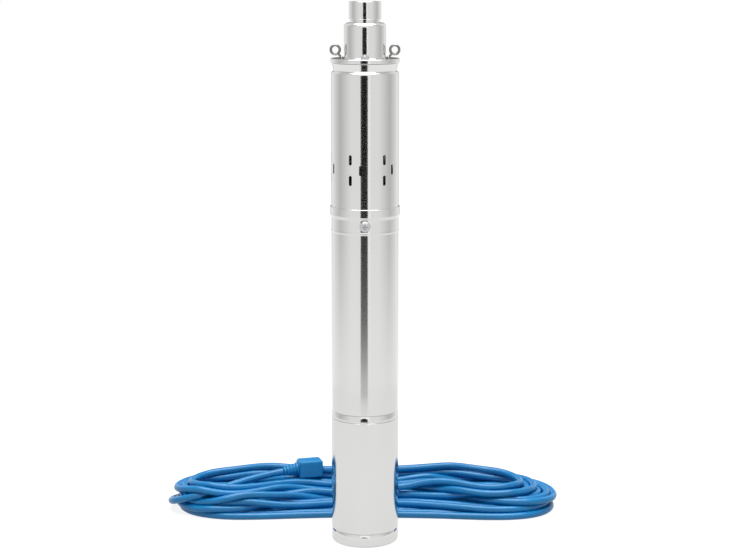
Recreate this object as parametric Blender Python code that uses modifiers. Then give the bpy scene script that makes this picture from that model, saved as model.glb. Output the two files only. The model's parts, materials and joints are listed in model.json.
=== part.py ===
"""Borehole submersible pump: a 75 mm oil-filled motor that turns a screw pump end.

The pump stands on its bottom cap. The origin is the centre of the cap's underside, +Z runs up
the pump's axis and -Y faces the front screw. Sizes are in metres, written as millimetres.
"""

import math

import bmesh
import bpy
from mathutils import Matrix, Vector

MM = 0.001

# Clearances
SEAT = 0.3 * MM
RUNNING = 0.3 * MM
SCREW_GAP = 0.6 * MM

# Facets
BIG_STEPS = 24
SMALL_STEPS = 16
TINY_STEPS = 10
SHARP_ANGLE = math.radians(32)
CUT_MARGIN = 2.0 * MM
OVERLAP = 1.0 * MM

# Outer tubes
BARREL_RADIUS = 37.5 * MM
BARREL_WALL = 1.0 * MM
BARREL_LENGTH = 167.8 * MM
MOTOR_TUBE_RADIUS = 37.3 * MM
MOTOR_TUBE_WALL = 1.0 * MM
MOTOR_TUBE_LENGTH = 233.0 * MM
LOWER_TUBE_STEP = 0.7 * MM
LOWER_TUBE_WALL = 1.2 * MM
LOWER_TUBE_LENGTH = 128.7 * MM
TUBE_EDGE = 0.4 * MM

# Rolled features of the tubes
LIP_HEIGHT = 9.0 * MM
LIP_TAPER = 3.4 * MM
LIP_TAPER_STEP = 0.4 * MM
BEAD_BELOW_TOP = 27.0 * MM
BEAD_HEIGHT = 3.2 * MM
BEAD_DEPTH = 0.5 * MM
GROOVE_BELOW_TOP = 7.2 * MM
GROOVE_HEIGHT = 2.0 * MM
GROOVE_SHOULDER = 2.6 * MM
GROOVE_DEPTH = 2.4 * MM
RIM_STEP = 1.1 * MM

# Intake slots: pairs one above the other, and single ones half way up beside them
SLOT_GROUPS = 6
SLOT_HEIGHT = 11.3 * MM
SLOT_WIDTH = 3.6 * MM
SLOT_PITCH = 22.7 * MM
SLOTS_ABOVE_LIP = 43.1 * MM
FIRST_PAIR_ANGLE = math.radians(-25.5)
PAIR_TO_SINGLE_ANGLE = math.radians(18.1)

# Bottom cap and its pressure diaphragm
CAP_STEP = 0.2 * MM
CAP_HEIGHT = 15.6 * MM
CAP_RING_HEIGHT = 7.0 * MM
CAP_RING_INSET = 2.0 * MM
CAP_EDGE_RADIUS = 3.4 * MM
CAP_FLOOR = 4.5 * MM
CAP_SPIGOT_HEIGHT = 13.0 * MM
CAP_SPIGOT_WALL = 4.6 * MM
CAP_LEDGE_WIDTH = 4.9 * MM
CAP_LEDGE_HEIGHT = 8.5 * MM
VENT_RADIUS = 1.9 * MM
VENT_CIRCLE = 17.0 * MM
VENT_COUNT = 4
DIAPHRAGM_THICKNESS = 1.4 * MM
DIAPHRAGM_DIP = 3.2 * MM
DIAPHRAGM_FLAT = 3.0 * MM
RING_THICKNESS = 2.2 * MM
RING_WIDTH = 4.0 * MM

# O-rings in the spigots
O_RING_RADIUS = 1.0 * MM
O_RING_GROOVE_DEPTH = 2.3 * MM
O_RING_GROOVE_HEIGHT = 2.6 * MM
O_RING_FROM_EDGE = 5.0 * MM
O_RING_LIFT = 0.15 * MM

# Carrier between the lower housing and the motor tube
BAND_STEP = 0.8 * MM
BAND_SWELL = 1.3 * MM
BAND_HEIGHT = 7.6 * MM
CARRIER_LOWER_SPIGOT = 14.0 * MM
CARRIER_UPPER_SPIGOT = 22.0 * MM
CARRIER_WALL = 4.0 * MM
CARRIER_FLOOR = 9.2 * MM
BEARING_BOSS_WALL = 4.2 * MM

# Capacitor hung from the carrier by its stud
CAPACITOR_RADIUS = 20.0 * MM
CAPACITOR_LENGTH = 72.0 * MM
CAPACITOR_EDGE = 1.5 * MM
STUD_RADIUS = 4.0 * MM
STUD_LENGTH = 4.6 * MM
STUD_ROOM = 0.4 * MM
TERMINAL_SIZE = (1.2 * MM, 6.3 * MM, 8.0 * MM)
TERMINAL_SPACING = 16.0 * MM

# Motor
SHAFT_RADIUS = 6.0 * MM
WINDING_ABOVE_CARRIER = 13.0 * MM
WINDING_BELOW_HEAD = 0.8 * MM
AIR_GAP = 0.6 * MM
STATOR_CORE_DEPTH = 17.5 * MM
END_RING_LENGTH = 6.0 * MM
END_RING_STEP = 0.5 * MM
WINDING_HEIGHT = 24.0 * MM
WINDING_FROM_BORE = 2.0 * MM
WINDING_FROM_TUBE = 3.3 * MM
WINDING_ROUND = 5.0 * MM

# Ball bearings, one at each end of the motor
BEARING_WIDTH = 10.0 * MM
BALL_RADIUS = 3.0 * MM
BALL_COUNT = 7
RACE_WALL = 1.35 * MM
RACE_LAND = 2.2 * MM
RACE_GAP = 0.5 * MM
CAGE_WALL = 1.2 * MM
CAGE_HEIGHT = 2.6 * MM

# Motor head: closes the oil chamber and carries the upper bearing and the shaft seal
HEAD_BELOW_LIP = 31.0 * MM
HEAD_SPIGOT_HEIGHT = 15.0 * MM
HEAD_RIM = 9.5 * MM
HEAD_DISH = 8.0 * MM
HEAD_POCKET_DEPTH = 10.0 * MM
HEAD_WALL = 5.0 * MM
BEARING_ABOVE_HEAD_FACE = 3.0 * MM
SEAL_CHAMBER_RADIUS = 13.5 * MM
SEAL_CHAMBER_HEIGHT = 18.0 * MM
SHAFT_PASSAGE_RADIUS = 9.5 * MM
SEAL_ROTARY_RADIUS = 10.0 * MM
SEAL_ROTARY_HEIGHT = 9.5 * MM
SEAL_ROTARY_STEP = 2.2 * MM
SEAL_SEAT_HEIGHT = 5.0 * MM
SEAL_SEAT_CLEARANCE = 1.0 * MM
SLINGER_RADIUS = 14.0 * MM
SLINGER_HEIGHT = 4.0 * MM
SLINGER_EDGE = 1.2 * MM
SLINGER_HUB = 2.5 * MM
SLINGER_CLEARANCE = 0.8 * MM
SLINGER_ROOM = 2.0 * MM

# Cross-recess screws through the motor tube into the head
HEAD_SCREW_BELOW_TOP = 18.8 * MM
SCREW_HEAD_RADIUS = 6.0 * MM
SCREW_HEAD_HEIGHT = 2.8 * MM
M6_RADIUS = 3.0 * MM
HEAD_SCREW_LENGTH = 12.0 * MM
TAP_RUN_OUT = 2.0 * MM
RECESS_LENGTH = 6.4 * MM
RECESS_WIDTH = 1.2 * MM
RECESS_DEPTH = 1.6 * MM
SCREW_DOME = ((0.55, 0.9), (0.88, 0.6), (1, 0.25))

# Pump end: coupling, flexible shaft, screw rotor and its stator
COUPLING_RADIUS = 9.0 * MM
COUPLING_HEIGHT = 21.0 * MM
COUPLING_WEB = 1.5 * MM
COUPLING_CHAMFER = (2.0 * MM, 3.0 * MM)
COUPLING_ABOVE_HEAD = 2.0 * MM
SHAFT_IN_COUPLING = 9.0 * MM
FLEX_RADIUS = 3.0 * MM
FLEX_SPAN = 25.8 * MM
FLEX_STRAIGHT = 2.0 * MM
FLEX_POINTS = 9
ECCENTRICITY = 2.5 * MM
SCREW_RADIUS = 7.5 * MM
SCREW_PITCH = 30.0 * MM
SCREW_RINGS_PER_TURN = 10
SCREW_HEAD_STEP = 0.5 * MM
SCREW_SOCKET_WEB = 1.0 * MM
SCREW_SHANK_HEIGHT = 10.0 * MM
SCREW_BELOW_STATOR = 2.0 * MM
SCREW_SHORT_OF_TOP = 4.0 * MM
SCREW_SIDES = 10
CAVITY_RINGS_PER_TURN = 15
STATOR_TUBE_RADIUS = 20.6 * MM
STATOR_TUBE_WALL = 1.6 * MM

# Outlet head
FLANGE_OVERHANG = 0.5 * MM
FLANGE_THICKNESS = 4.7 * MM
FLANGE_EDGE = 1.0 * MM
PLATE_BELOW_FLANGE = 12.0 * MM
SKIRT_LENGTH = 25.0 * MM
SKIRT_WALL = 2.6 * MM
BOSS_WALL = 3.2 * MM
BOSS_LENGTH = 20.0 * MM
NECK_TO_GLAND = 1.5 * MM
NECK_HEIGHT = 39.0 * MM
NECK_FILLET = 0.8 * MM
SHOULDER_RADIUS = 4.5 * MM
NECK_WALL = 4.7 * MM
SHOULDER_LAND = 0.6 * MM
LEAD_HOLE_ROOM = 0.4 * MM

# Outlet socket, screwed into the neck
OUTLET_BORE = 15.15 * MM
OUTLET_BORE_DEPTH = 21.0 * MM
OUTLET_CHAMFER = 0.9 * MM
COLLAR_WALL = 2.65 * MM
COLLAR_HEIGHT = 19.5 * MM
COLLAR_EDGE = 0.6 * MM
UNDERCUT_DEPTH = 1.4 * MM
UNDERCUT_HEIGHT = 3.5 * MM
SPIGOT_STEP = 0.15 * MM
SPIGOT_WALL = 2.2 * MM
SPIGOT_LENGTH = 12.0 * MM

# Check valve inside the neck
VALVE_SEAT_STEP = 2.0 * MM
VALVE_SEAT_LAND = 6.5 * MM
VALVE_SEAT_HEIGHT = 6.0 * MM
VALVE_SEAT_CHAMFER = 1.2 * MM
POPPET_LAND = 3.0 * MM
POPPET_EDGE = 0.6 * MM
POPPET_HEIGHT = 3.0 * MM
POPPET_NOSE = 3.2 * MM
POPPET_NOSE_CLEARANCE = 1.0 * MM
POPPET_NOSE_TAPER = 2.0 * MM
STEM_RADIUS = 2.5 * MM
STEM_ABOVE_GUIDE = 2.0 * MM
GUIDE_HEIGHT = 3.0 * MM
GUIDE_RIM = 2.6 * MM
GUIDE_HUB_RADIUS = 5.0 * MM
GUIDE_ARM_WIDTH = 3.0 * MM
GUIDE_ARM_STEP = 0.2 * MM
SPRING_RADIUS = 6.4 * MM
SPRING_WIRE_RADIUS = 0.6 * MM
SPRING_TURNS = 4
SPRING_POINTS_PER_TURN = 9

# Rope eyes, flange screw and cable gland on top of the flange
EYE_FROM_EDGE = 5.2 * MM
EYE_RING_RADIUS = 4.95 * MM
EYE_WIRE_RADIUS = 1.45 * MM
EYE_CENTRE_HEIGHT = 9.4 * MM
EYE_NUT_RADIUS = 2.1 * MM
EYE_NUT_ROOM = 1.8 * MM
EYE_STEM_RADIUS = 1.3 * MM
EYE_SHANK_RADIUS = 1.4 * MM
SHANK_DEPTH = 6.4 * MM
FLANGE_SCREW_FROM_EDGE = 7.0 * MM
HEX_RADIUS = 5.8 * MM
HEX_HEIGHT = 4.0 * MM
HEX_EDGE = 0.35 * MM
GLAND_HEX_RADIUS = 5.5 * MM
GLAND_HEX_HEIGHT = 6.0 * MM
GLAND_NECK_RADIUS = 5.0 * MM
GLAND_NECK_HEIGHT = 7.0 * MM
GLAND_TAPER = (0.6 * MM, 3.0 * MM)
GLAND_SHANK_RADIUS = 3.9 * MM
LEAD_RADIUS = 2.6 * MM
LEAD_TO_SKIRT = 0.8 * MM
LEAD_BOW = 0.9 * MM
LEAD_STRAIGHT = 36.0 * MM
LEAD_SPACING = 24.0 * MM

# Supply cable: a drop behind the pump, a hank on the floor and a tail that lies across it
CABLE_RADIUS = 4.25 * MM
HANK_TOP = 34.0 * MM
HANK_LEFT = -237.0 * MM
HANK_RIGHT = 235.0 * MM
HANK_FRONT = 62.0 * MM
HANK_BACK = 178.0 * MM
HANK_EDGE = 5.0 * MM
DROP_ROUTE = (
    (0, 30.2, 563.6), (0, 30.2, 571), (0, 35.5, 585), (0, 50, 595.5), (0, 67, 588), (0, 76.5, 566),
    (0, 81, 530), (1, 84, 440), (2, 86, 320), (0, 85, 200), (-3, 89, 110), (-6, 94, 70), (-6, 94, 34.4),
)
DROP_SPACING = 24.0 * MM
TAIL_ROUTE = (
    (-196, 84, 38.6), (-173, 93, 38.6), (-145, 108, 38.7), (-118, 120.5, 39.6), (-99.5, 125.5, 42.6),
)
TAIL_SPACING = 12.0 * MM
RELIEF_LENGTH = 19.0 * MM
RELIEF_GAP = 0.6 * MM
RELIEF_START_RADIUS = 5.4 * MM
RELIEF_END_RADIUS = 7.4 * MM
PLUG_BODY = (29.0 * MM, 20.0 * MM, 21.0 * MM)
PLUG_EDGE = 2.6 * MM
PIN_RADIUS = 2.4 * MM
PIN_LENGTH = 19.0 * MM
PIN_SPACING = 19.0 * MM
PIN_SIDES = 10

# Levels, from the bottom up
LOWER_TUBE_Z = CAP_HEIGHT + SEAT
LOWER_TUBE_TOP = LOWER_TUBE_Z + LOWER_TUBE_LENGTH
BAND_Z = LOWER_TUBE_TOP + SEAT
BAND_TOP = BAND_Z + BAND_HEIGHT
MOTOR_TUBE_Z = BAND_TOP + SEAT
MOTOR_TUBE_TOP = MOTOR_TUBE_Z + MOTOR_TUBE_LENGTH
BARREL_Z = MOTOR_TUBE_TOP - LIP_HEIGHT + SEAT
BARREL_TOP = BARREL_Z + BARREL_LENGTH
FLANGE_Z = BARREL_TOP + SEAT
FLANGE_TOP = FLANGE_Z + FLANGE_THICKNESS
NECK_TOP = FLANGE_TOP + NECK_HEIGHT
COLLAR_Z = NECK_TOP + SEAT + UNDERCUT_HEIGHT
COLLAR_TOP = COLLAR_Z + COLLAR_HEIGHT

# Radii and levels that follow from them
BARREL_INNER = BARREL_RADIUS - BARREL_WALL
LOWER_TUBE_RADIUS = MOTOR_TUBE_RADIUS + LOWER_TUBE_STEP
CAP_RADIUS = LOWER_TUBE_RADIUS - CAP_STEP
BAND_RADIUS = MOTOR_TUBE_RADIUS - BAND_STEP
MOTOR_TUBE_INNER = MOTOR_TUBE_RADIUS - MOTOR_TUBE_WALL
LOWER_TUBE_INNER = LOWER_TUBE_RADIUS - LOWER_TUBE_WALL
LIP_INNER = BARREL_RADIUS + SEAT
LIP_RADIUS = LIP_INNER + MOTOR_TUBE_WALL
SHAFT_BORE = SHAFT_RADIUS + SEAT
BALL_CIRCLE = SHAFT_BORE + RACE_WALL + RACE_GAP + BALL_RADIUS
BEARING_OUTER = BALL_CIRCLE + BALL_RADIUS + RACE_GAP + RACE_WALL
BEARING_BORE = BEARING_OUTER + SEAT
CARRIER_TOP = BAND_TOP + CARRIER_UPPER_SPIGOT
LOWER_BEARING_Z = BAND_Z + CARRIER_FLOOR + SEAT
FLARE_Z = MOTOR_TUBE_TOP - LIP_HEIGHT - LIP_TAPER + LIP_TAPER_STEP
HEAD_Z = MOTOR_TUBE_TOP - LIP_HEIGHT - HEAD_BELOW_LIP
HEAD_TOP = BARREL_Z + HEAD_SPIGOT_HEIGHT
UPPER_BEARING_Z = HEAD_Z + BEARING_ABOVE_HEAD_FACE
SEAL_FLOOR = UPPER_BEARING_Z + BEARING_WIDTH + SEAT
SEAL_TOP = SEAL_FLOOR + SEAL_CHAMBER_HEIGHT
HEAD_SCREW_Z = MOTOR_TUBE_TOP - HEAD_SCREW_BELOW_TOP
CORE_Z = CARRIER_TOP + WINDING_ABOVE_CARRIER + WINDING_HEIGHT + SEAT
CORE_TOP = HEAD_Z - WINDING_BELOW_HEAD - WINDING_HEIGHT - SEAT
STATOR_CORE_RADIUS = MOTOR_TUBE_INNER - SEAT
ROTOR_RADIUS = STATOR_CORE_RADIUS - STATOR_CORE_DEPTH - AIR_GAP
WINDING_INNER = ROTOR_RADIUS + AIR_GAP + WINDING_FROM_BORE
WINDING_OUTER = MOTOR_TUBE_INNER - WINDING_FROM_TUBE
COUPLING_Z = HEAD_TOP + COUPLING_ABOVE_HEAD
COUPLING_TOP = COUPLING_Z + COUPLING_HEIGHT
SHAFT_TOP = COUPLING_Z + SHAFT_IN_COUPLING
SCREW_SHANK_Z = COUPLING_TOP + FLEX_SPAN
SCREW_Z = SCREW_SHANK_Z + SCREW_SHANK_HEIGHT
STATOR_Z = SCREW_Z + SCREW_BELOW_STATOR
STATOR_TOP = FLANGE_Z - SEAT
SCREW_LENGTH = STATOR_TOP - SCREW_SHORT_OF_TOP - SCREW_Z
LINER_RADIUS = STATOR_TUBE_RADIUS - STATOR_TUBE_WALL - SEAT
FLANGE_RADIUS = BARREL_RADIUS + FLANGE_OVERHANG
SKIRT_INNER = BARREL_INNER - SEAT - SKIRT_WALL
EYE_X = FLANGE_RADIUS - EYE_FROM_EDGE
FLANGE_SCREW_Y = FLANGE_SCREW_FROM_EDGE - FLANGE_RADIUS
GLAND_Y = SKIRT_INNER - LEAD_TO_SKIRT - LEAD_RADIUS
NECK_RADIUS = GLAND_Y - GLAND_HEX_RADIUS - NECK_TO_GLAND
EYE_FOOT_X = NECK_RADIUS + NECK_FILLET + EYE_NUT_ROOM
CHAMBER_RADIUS = NECK_RADIUS - NECK_WALL
COLLAR_RADIUS = OUTLET_BORE + COLLAR_WALL
UNDERCUT_RADIUS = COLLAR_RADIUS - UNDERCUT_DEPTH
SPIGOT_RADIUS = OUTLET_BORE - SPIGOT_STEP
SPIGOT_BORE = SPIGOT_RADIUS - SPIGOT_WALL
VALVE_SEAT_RADIUS = CHAMBER_RADIUS + VALVE_SEAT_STEP
VALVE_SEAT_BORE = CHAMBER_RADIUS - VALVE_SEAT_LAND
POPPET_RADIUS = VALVE_SEAT_BORE + POPPET_LAND
VALVE_SEAT_TOP = FLANGE_Z + VALVE_SEAT_HEIGHT
POPPET_Z = VALVE_SEAT_TOP + SEAT
SPIGOT_HOLE = SPIGOT_RADIUS + SEAT
CHAMBER_TOP = NECK_TOP - SPIGOT_LENGTH - SEAT
GUIDE_Z = CHAMBER_TOP - SEAT - GUIDE_HEIGHT
HANK_REST = HANK_TOP + SEAT


def clear_scene():
    """Removes every object of the open file."""
    for item in list(bpy.data.objects):
        bpy.data.objects.remove(item)


def new_collection(name):
    """A collection of that name in the scene."""
    collection = bpy.data.collections.new(name)
    bpy.context.scene.collection.children.link(collection)
    return collection


clear_scene()
PARTS = new_collection("borehole_pump")
CUTTERS = new_collection("cutters")


def make_material(name, colour, roughness, metallic):
    """A Principled BSDF material."""
    material = bpy.data.materials.new(name)
    material.use_nodes = True
    shader = material.node_tree.nodes["Principled BSDF"]
    shader.inputs["Base Color"].default_value = (*colour, 1)
    shader.inputs["Roughness"].default_value = roughness
    shader.inputs["Metallic"].default_value = metallic
    material.diffuse_color = (*colour, 1)
    return material


POLISHED = make_material("polished_stainless", (0.62, 0.62, 0.61), 0.08, 1)
STEEL = make_material("turned_steel", (0.42, 0.42, 0.43), 0.3, 1)
CAST = make_material("cast_aluminium", (0.5, 0.5, 0.5), 0.5, 1)
IRON = make_material("iron_laminations", (0.12, 0.12, 0.13), 0.6, 1)
COPPER = make_material("enamelled_copper", (0.5, 0.18, 0.06), 0.35, 1)
RUBBER = make_material("black_rubber", (0.02, 0.02, 0.02), 0.7, 0)
BLUE = make_material("blue_cable_jacket", (0.01, 0.22, 0.62), 0.45, 0)
PLASTIC = make_material("white_plastic", (0.7, 0.7, 0.68), 0.4, 0)
BRASS = make_material("brass", (0.6, 0.42, 0.14), 0.3, 1)


def link(item, material, collection=None):
    """Puts an object in its collection with its material."""
    (collection or PARTS).objects.link(item)
    item.data.materials.clear()
    item.data.materials.append(material)
    return item


def bake(item):
    """Puts the evaluated shape in the object's mesh, joins loose caps and shades by angle."""
    bpy.context.view_layer.update()
    evaluated = item.evaluated_get(bpy.context.evaluated_depsgraph_get())
    mesh = bpy.data.meshes.new_from_object(evaluated)
    shape = bmesh.new()
    shape.from_mesh(mesh)
    bmesh.ops.remove_doubles(shape, verts=shape.verts, dist=0.002 * MM)
    bmesh.ops.recalc_face_normals(shape, faces=shape.faces)
    shape.to_mesh(mesh)
    shape.free()
    mesh.shade_smooth()
    mesh.set_sharp_from_angle(angle=SHARP_ANGLE)
    name = item.name
    place = item.matrix_world.copy()
    material = item.data.materials[0]
    collection = item.users_collection[0]
    old = item.data
    bpy.data.objects.remove(item)
    if isinstance(old, bpy.types.Mesh) and old.users == 0:
        bpy.data.meshes.remove(old)
    baked = bpy.data.objects.new(name, mesh)
    link(baked, material, collection)
    baked.matrix_world = place
    return baked


def turned(name, profile, material, steps=BIG_STEPS, closed=True, at=(0, 0, 0), collection=None):
    """A shape turned about Z from (radius, height) points that run down its outer side."""
    mesh = bpy.data.meshes.new(name)
    points = [(radius, 0, height) for radius, height in profile]
    edges = [(i, i + 1) for i in range(len(points) - 1)]
    if closed:
        edges.append((len(points) - 1, 0))
    mesh.from_pydata(points, edges, [])
    item = bpy.data.objects.new(name, mesh)
    link(item, material, collection)
    item.location = at
    screw = item.modifiers.new("turn", "SCREW")
    screw.axis = "Z"
    screw.steps = steps
    screw.render_steps = steps
    screw.use_merge_vertices = True
    screw.merge_threshold = 0.01 * MM
    screw.use_smooth_shade = True
    return item


def arc(centre_radius, centre_height, radius, start, end, steps):
    """Points of a round stretch of a profile, from one angle in degrees to another."""
    points = []
    for i in range(steps + 1):
        angle = math.radians(start + (end - start) * i / steps)
        points.append((centre_radius + radius * math.cos(angle), centre_height + radius * math.sin(angle)))
    return points


def swelling(radius, high, low, inset):
    """Profile points of a rolled ring, from its narrow top down to its full radius."""
    steps = 4
    points = []
    for i in range(steps + 1):
        angle = math.pi / 2 * i / steps
        points.append((radius - inset * (1 - math.sin(angle)), low + (high - low) * math.cos(angle)))
    return points


def ring_profile(outer, inner, low, high):
    """A plain ring's profile."""
    return [(outer, high), (outer, low), (inner, low), (inner, high)]


def disc_profile(radius, low, high):
    """A plain solid cylinder's profile, from axis to axis."""
    return [(0, high), (radius, high), (radius, low), (0, low)]


def mesh_object(name, shape, material, collection=None):
    """An object of a bmesh, which is freed."""
    mesh = bpy.data.meshes.new(name)
    shape.to_mesh(mesh)
    shape.free()
    item = bpy.data.objects.new(name, mesh)
    return link(item, material, collection)


def cylinder_shape(radius, low, high, sides, place=None):
    """A bmesh cylinder along Z between two heights, moved by a matrix."""
    shape = bmesh.new()
    middle = Matrix.Translation((0, 0, (low + high) / 2))
    matrix = place @ middle if place else middle
    bmesh.ops.create_cone(
        shape, cap_ends=True, segments=sides, radius1=radius, radius2=radius, depth=high - low,
        matrix=matrix,
    )
    return shape


def hide_cutter(cutter):
    """Keeps a cutter out of the part."""
    cutter.hide_render = True
    cutter.display_type = "WIRE"
    return cutter


def cylinder_cutter(name, radius, low, high, sides, place=None):
    """A cylinder that cuts."""
    return hide_cutter(mesh_object(name, cylinder_shape(radius, low, high, sides, place), STEEL, CUTTERS))


def combine(item, other, operation):
    """A Boolean of another object on this one."""
    modifier = item.modifiers.new(other.name, "BOOLEAN")
    modifier.operation = operation
    modifier.object = other
    modifier.solver = "EXACT"
    return item


def cut(item, *cutters):
    """Cuts each cutter from the object."""
    for cutter in cutters:
        combine(item, cutter, "DIFFERENCE")
    return item


def about_z(angle):
    """A turn about the pump's axis."""
    return Matrix.Rotation(angle, 4, "Z")


def groove_and_land(radius, middle, half_height, depth):
    """Profile points of an O-ring groove on an outer side, from top to bottom."""
    bottom = radius - depth
    return [
        (radius, middle + half_height),
        (bottom, middle + half_height),
        (bottom, middle - half_height),
        (radius, middle - half_height),
    ]


def o_ring(name, spigot_radius, height):
    """A ring lying in the bottom of its groove."""
    centre = spigot_radius - O_RING_GROOVE_DEPTH + O_RING_RADIUS + O_RING_LIFT
    profile = arc(centre, height, O_RING_RADIUS, 45, -225, 3)
    return turned(name, profile, RUBBER)


def make_bottom_cap():
    """Turned cap with a spigot, a ledge for the diaphragm and vent holes through its floor."""
    spigot = LOWER_TUBE_INNER - SEAT
    inner = spigot - CAP_SPIGOT_WALL
    top = CAP_HEIGHT + CAP_SPIGOT_HEIGHT
    groove = top - O_RING_FROM_EDGE
    ledge = CAP_FLOOR + CAP_LEDGE_HEIGHT
    ledge_radius = inner - CAP_LEDGE_WIDTH
    profile = [(inner, top), (spigot, top)]
    profile += groove_and_land(spigot, groove, O_RING_GROOVE_HEIGHT / 2, O_RING_GROOVE_DEPTH)
    profile += [(spigot, CAP_HEIGHT)]
    profile += swelling(CAP_RADIUS, CAP_HEIGHT, CAP_HEIGHT - CAP_RING_HEIGHT, CAP_RING_INSET)
    profile += arc(CAP_RADIUS - CAP_EDGE_RADIUS, CAP_EDGE_RADIUS, CAP_EDGE_RADIUS, 0, -90, 4)
    profile += [(0, 0), (0, CAP_FLOOR), (ledge_radius, CAP_FLOOR), (ledge_radius, ledge), (inner, ledge)]
    cap = turned("bottom_cap", profile, POLISHED)
    vents = []
    for i in range(VENT_COUNT):
        place = about_z(math.tau * (i + 0.5) / VENT_COUNT) @ Matrix.Translation((VENT_CIRCLE, 0, 0))
        vents.append(
            cylinder_cutter(f"cap_vent_{i}", VENT_RADIUS, -CUT_MARGIN, CAP_FLOOR + CUT_MARGIN, 8, place)
        )
    bake(cut(cap, *vents))
    bake(o_ring("cap_o_ring", spigot, groove))
    make_diaphragm(inner - SEAT, ledge_radius - DIAPHRAGM_FLAT, ledge + SEAT)


def make_diaphragm(radius, inside, level):
    """Rubber diaphragm on the cap's ledge, with one convolution, and the ring that holds it."""
    top = level + DIAPHRAGM_THICKNESS
    middle = inside - 2 * DIAPHRAGM_DIP
    waist = inside - DIAPHRAGM_DIP
    profile = [(0, top), (middle, top), (waist, top - DIAPHRAGM_DIP), (inside, top)]
    profile += [(radius, top), (radius, level)]
    profile += [(inside, level), (waist, level - DIAPHRAGM_DIP), (middle, level), (0, level)]
    bake(turned("pressure_diaphragm", profile, RUBBER))
    low = top + SEAT
    profile = ring_profile(radius, radius - RING_WIDTH, low, low + RING_THICKNESS)
    bake(turned("diaphragm_ring", profile, STEEL))


def make_lower_housing():
    """Polished tube round the capacitor chamber."""
    profile = [
        (LOWER_TUBE_INNER, LOWER_TUBE_TOP),
        (LOWER_TUBE_RADIUS - TUBE_EDGE, LOWER_TUBE_TOP),
        (LOWER_TUBE_RADIUS, LOWER_TUBE_TOP - TUBE_EDGE),
        (LOWER_TUBE_RADIUS, LOWER_TUBE_Z + TUBE_EDGE),
        (LOWER_TUBE_RADIUS - TUBE_EDGE, LOWER_TUBE_Z),
        (LOWER_TUBE_INNER, LOWER_TUBE_Z),
    ]
    bake(turned("lower_housing", profile, POLISHED))


def make_lower_carrier():
    """Carrier whose band shows between the tubes, with the lower bearing's seat and the stud's hole."""
    low_spigot = LOWER_TUBE_INNER - SEAT
    up_spigot = MOTOR_TUBE_INNER - SEAT
    low = BAND_Z - CARRIER_LOWER_SPIGOT
    groove = low + O_RING_FROM_EDGE
    floor = BAND_Z + CARRIER_FLOOR
    boss = BEARING_BORE + BEARING_BOSS_WALL
    boss_top = floor + SEAT + BEARING_WIDTH
    stud_hole = STUD_RADIUS + SEAT
    stud_top = BAND_Z + STUD_LENGTH + STUD_ROOM
    profile = [(up_spigot - CARRIER_WALL, CARRIER_TOP), (up_spigot, CARRIER_TOP), (up_spigot, BAND_TOP)]
    profile += swelling(BAND_RADIUS + BAND_SWELL, BAND_TOP, BAND_Z, BAND_SWELL)
    profile += [(low_spigot, BAND_Z)]
    profile += groove_and_land(low_spigot, groove, O_RING_GROOVE_HEIGHT / 2, O_RING_GROOVE_DEPTH)
    profile += [(low_spigot, low), (low_spigot - CARRIER_WALL, low), (low_spigot - CARRIER_WALL, BAND_Z)]
    profile += [(stud_hole, BAND_Z), (stud_hole, stud_top), (0, stud_top), (0, floor)]
    profile += [(BEARING_BORE, floor), (BEARING_BORE, boss_top), (boss, boss_top), (boss, floor)]
    profile += [(up_spigot - CARRIER_WALL, floor)]
    bake(turned("lower_carrier", profile, CAST))
    bake(o_ring("carrier_o_ring", low_spigot, groove))


def make_capacitor():
    """Capacitor can with its stud up in the carrier and two terminals below."""
    top = BAND_Z - SEAT
    low = top - CAPACITOR_LENGTH
    profile = [(0, top + STUD_LENGTH), (STUD_RADIUS, top + STUD_LENGTH), (STUD_RADIUS, top)]
    profile += [(CAPACITOR_RADIUS - CAPACITOR_EDGE, top), (CAPACITOR_RADIUS, top - CAPACITOR_EDGE)]
    profile += [(CAPACITOR_RADIUS, low), (0, low)]
    can = turned("capacitor", profile, PLASTIC)
    width, depth, height = TERMINAL_SIZE
    for side in (-1, 1):
        shape = bmesh.new()
        place = Matrix.Translation((side * TERMINAL_SPACING / 2, 0, low - height / 2 + OVERLAP))
        bmesh.ops.create_cube(shape, size=1, matrix=place @ Matrix.Diagonal((width, depth, height, 1)))
        tab = hide_cutter(mesh_object(f"terminal_{side + 1}", shape, BRASS, CUTTERS))
        combine(can, tab, "UNION")
    bake(can)


def radial_place(height, angle=0):
    """Turns Z to point out of the front, at a height."""
    return Matrix.Translation((0, 0, height)) @ about_z(angle) @ Matrix.Rotation(math.pi / 2, 4, "X")


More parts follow.
